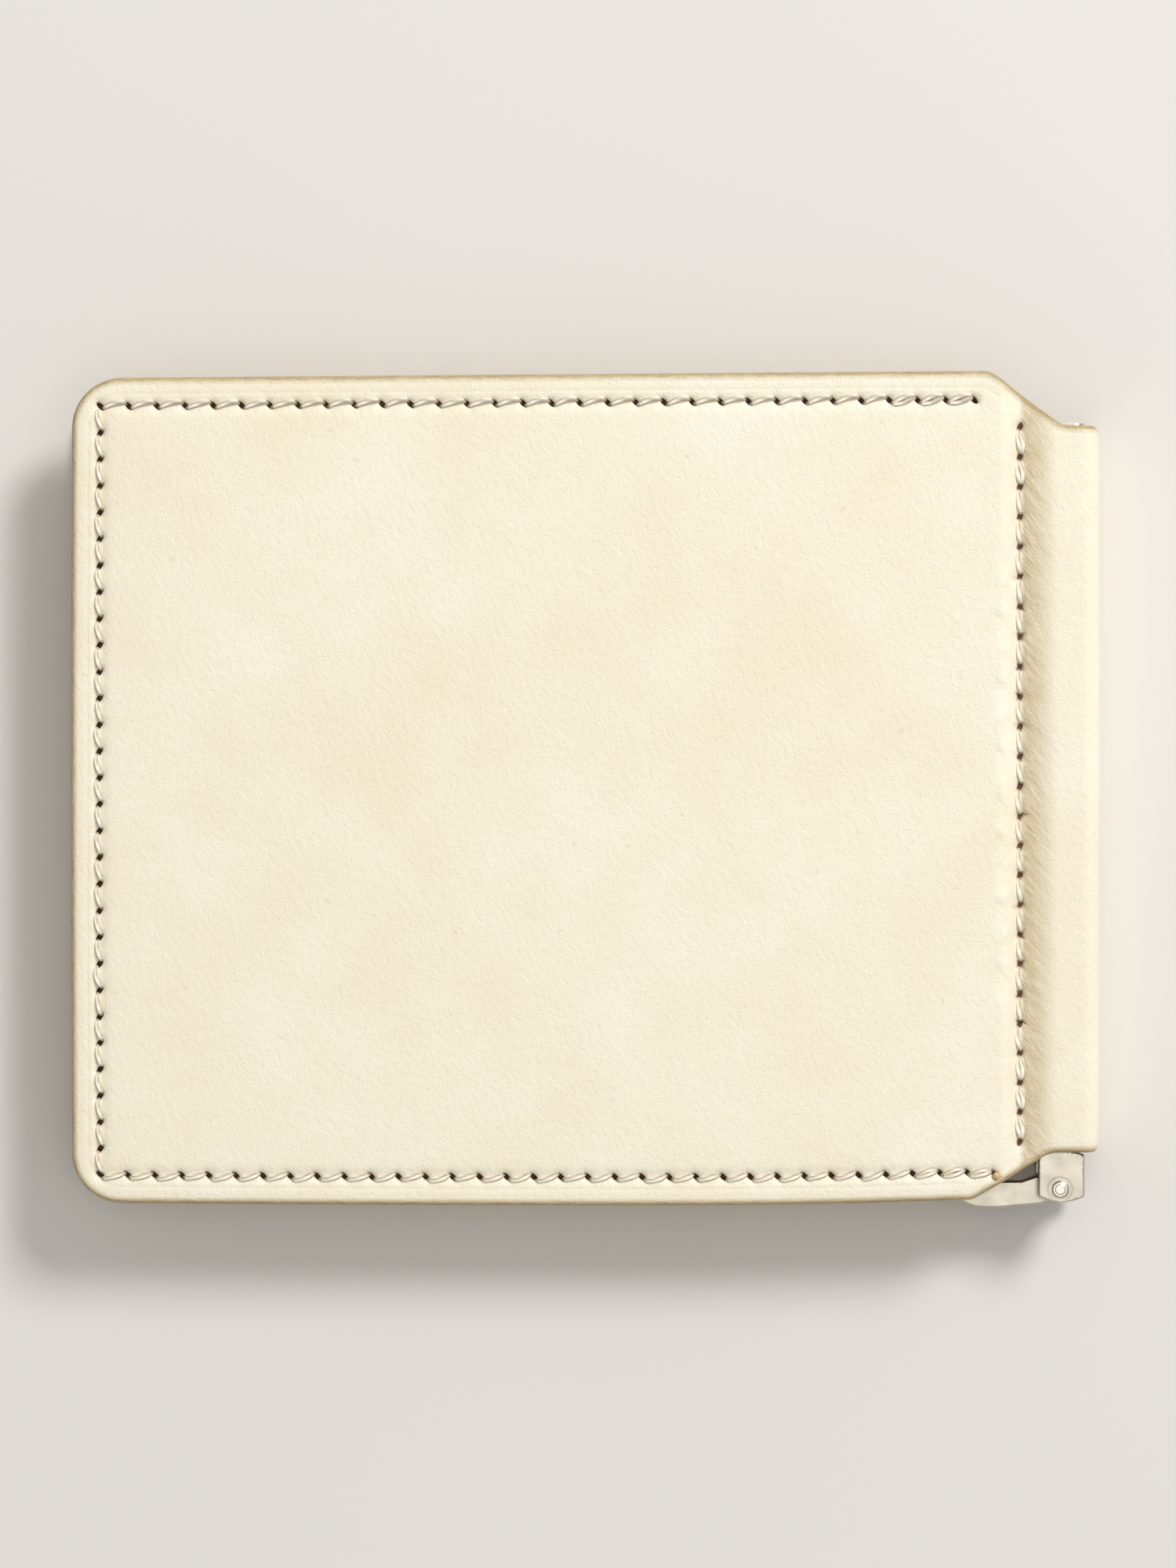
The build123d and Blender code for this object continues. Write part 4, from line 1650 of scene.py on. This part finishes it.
@dataclass
class LugPlate(Sheet):
    """One lug of the rail, dished round the rivet where the head was peened."""

    dish: float = 0.07
    dish_radius: float = 1.12

    def inner_points(self, edge: Array, normals: Array, detailed: bool) -> Array:
        """Rings round the rivet's centre, which the arched outline trims.

        Args:
            edge: The outline's inset points.
            normals: The outline's outward normals.
            detailed: Whether this is the outer face.

        Returns:
            The points.
        """
        angle = np.linspace(0, 2 * np.pi, 48, endpoint=False)
        radius = np.arange(0.3, 6.0, 0.16 if detailed else 0.8)[:, None]
        rings = np.stack([radius * np.cos(angle), radius * np.sin(angle)], -1).reshape(-1, 2)
        points = rings + np.array(LAYOUT.pivot)
        return points[depth_inside(points, edge, normals) > 0.08]

    def levels(self, flat: Array, depth: Array) -> tuple[Array, Array]:
        """z of the outer face, dished in a ring round the rivet, and of the inner face.

        Args:
            flat: Points of the flat plate.
            depth: How far each lies inside the outline, which this plate doesn't use.

        Returns:
            The two levels of each point.
        """
        apart = np.linalg.norm(flat - np.array(LAYOUT.pivot), axis=1)
        face = self.level - self.dish * bell(apart - self.dish_radius, 0.16)
        return face, np.full(len(flat), self.level - self.thickness)


@dataclass
class SpineRail:
    """The folded steel channel in the tunnel, with a lug on each flange for the rivet."""

    sheet: float = 0.9
    bend: float = 1.0
    depth: float = 4.0
    lug_gap: float = 0.1
    arch: float = 0.6
    neck: float = 2.4
    edge: float = 0.16

    def channel(self, back: float, face: float, ends: tuple[float, float]) -> Surface:
        """The channel: a rounded C carried along the spine.

        Args:
            back: x of the web's outer side.
            face: z of the front flange's outer side.
            ends: y of its lower and upper end.

        Returns:
            The closed surface.
        """
        lip, web = back - self.depth, back - self.sheet
        inside = face - self.sheet
        section = rounded_outline(np.array([
            (lip, -face, self.edge), (back, -face, self.bend), (back, face, self.bend),
            (lip, face, self.edge), (lip, inside, self.edge), (web, inside, self.edge),
            (web, -inside, self.edge), (lip, -inside, self.edge),
        ]), 1.0)
        centre = section.mean(0)
        levels = np.array([ends[0], ends[0] + self.edge, ends[1] - self.edge, ends[1]])
        path = np.stack([np.zeros(4), levels], 1)
        shrink = np.array([0.985, 1.0, 1.0, 0.985])[:, None, None]
        return swept(path, centre + (section - centre) * shrink)

    def lug(self, back: float, left: float, face: float, ends: tuple[float, float]) -> Surface:
        """The front lug: straight sides and ends that arch as a parabola.

        Args:
            back: x of its outer side.
            left: x of its inner side.
            face: z of its outer face.
            ends: y of its lower and upper end.

        Returns:
            The closed surface.
        """
        across = np.linspace(-1, 1, 17)
        x = (back + left) / 2 + across * (back - left) / 2
        bulge = self.arch * across ** 2
        outline = np.concatenate([
            np.stack([x, ends[0] + bulge], 1), np.stack([x[::-1], ends[1] - bulge], 1),
        ])
        corners = np.column_stack([outline, np.zeros(len(outline))])
        corners[[0, 16, 17, 33], 2] = 0.25
        none = Slits(np.zeros((0, 2)), np.zeros((0, 2)))
        plate = LugPlate(corners, face, self.sheet, 1, none, [], rim_round=self.edge, rim_steps=8)
        return plate.surface(Side.FRONT)

    def build(self) -> None:
        """Makes the rail with its lugs and necks."""
        low, high = (np.array(corner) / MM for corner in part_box("spine_rail"))
        back, left = high[0] - LAYOUT.seam, low[0] - LAYOUT.seam
        face = high[2] - LAYOUT.middle
        lug_top = LAYOUT.tunnel_end - self.lug_gap
        lug = self.lug(back, left, face, (low[1], lug_top))
        middle = (back + left) / 2
        gap = 0.03
        block = rounded_outline(np.array([
            (middle - self.neck / 2, face - self.sheet + gap, 0.1),
            (middle + self.neck / 2, face - self.sheet + gap, 0.1),
            (middle + self.neck / 2, face - gap, 0.1),
            (middle - self.neck / 2, face - gap, 0.1),
        ]), 1.0)
        neck = swept(np.array([(0.0, lug_top - self.arch), (0.0, LAYOUT.tunnel_end + self.bend)]), block)
        plain = [Surface(piece.points, piece.faces) for piece in (lug, neck)]
        mirrored = [Surface(piece.points * (1, 1, -1), piece.faces).flipped() for piece in plain]
        channel = self.channel(back, face, (LAYOUT.tunnel_end, high[1]))
        piece = add_piece("folded_rail", joined([channel, *plain, *mirrored]), SATIN_NICKEL)
        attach(piece, "spine")
        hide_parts("spine_rail")


@dataclass
class Hardware:
    """The metal: the CAD model's arm, spring and spring rivets, and the rail and its peened rivet."""

    def build(self) -> None:
        """Dresses the CAD model's metal and makes the pivot rivet."""
        finishes = {
            "clip_arm": SATIN_NICKEL,
            "leaf_spring": SPRING_STEEL,
            "spring_rivets": BRIGHT_NICKEL,
        }
        for node, finish in finishes.items():
            shown = frame["nodes"][node]
            shown.data.materials.clear()
            shown.data.materials.append(finish.material())
            LOG.info("%s: %s", node, finish.name)
        SpineRail().build()
        PivotRivet().build()


# ---------------------------------------------------------------- the studio


@dataclass
class StudioSet:
    """The floor, the lamps and the camera, looking straight down."""

    camera_offset: tuple[float, float] = (0.2, 1.0)
    camera_height: float = 650.0
    lens: float = 142.0
    sensor: float = 36.0
    floor: float = 1.5
    world_strength: float = 0.5

    def lamp(self, name: str, place: tuple[float, float, float], size: float, power: float) -> None:
        """Adds an area lamp that points at the wallet.

        Args:
            name: The lamp's name.
            place: Where it hangs, in metres.
            size: The side of its square, in metres.
            power: In watts.
        """
        light = bpy.data.lights.new(name, "AREA")
        light.shape, light.size, light.energy = "SQUARE", size, power
        made = bpy.data.objects.new(name, light)
        made.location = place
        made.rotation_euler = (-Vector(place)).to_track_quat("-Z", "Y").to_euler()
        bpy.context.scene.collection.objects.link(made)

    def build(self) -> None:
        """Makes the floor, the world, the lamps and the camera."""
        half = self.floor / 2
        mesh = bpy.data.meshes.new("card_floor")
        corners = [(-half, -half, 0), (half, -half, 0), (half, half, 0), (-half, half, 0)]
        mesh.from_pydata(corners, [], [(0, 1, 2, 3)])
        mesh.materials.append(CARD.material())
        floor = bpy.data.objects.new("card_floor", mesh)
        bpy.context.scene.collection.objects.link(floor)

        world = bpy.data.worlds.new("studio")
        world.use_nodes = True
        world.node_tree.nodes["Background"].inputs["Color"].default_value = linear("F6F4F0")
        world.node_tree.nodes["Background"].inputs["Strength"].default_value = self.world_strength
        bpy.context.scene.world = world
        self.lamp("key", (0.60, 0.75, 0.85), 0.35, 11.5)
        self.lamp("overhead", (0.1, -0.1, 1.3), 0.9, 2.6)

        bpy.context.scene.view_settings.view_transform = "Standard"
        camera = bpy.data.cameras.new("camera")
        camera.lens, camera.sensor_width = self.lens, self.sensor
        eye = bpy.data.objects.new("camera", camera)
        height = 2 * LAYOUT.middle + self.camera_height
        eye.location = Vector((*self.camera_offset, height)) * MM
        bpy.context.scene.collection.objects.link(eye)
        bpy.context.scene.camera = eye


def main() -> None:
    """Builds the wallet's pieces in order."""
    logging.basicConfig(level=logging.INFO, format="%(name)s: %(message)s")
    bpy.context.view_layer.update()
    for side in Side:
        OuterCover().build(side)
        Interior().build(side)
        TunnelLiner().build(side)
    Hardware().build()
    StudioSet().build()


if __name__ == "__main__":
    main()
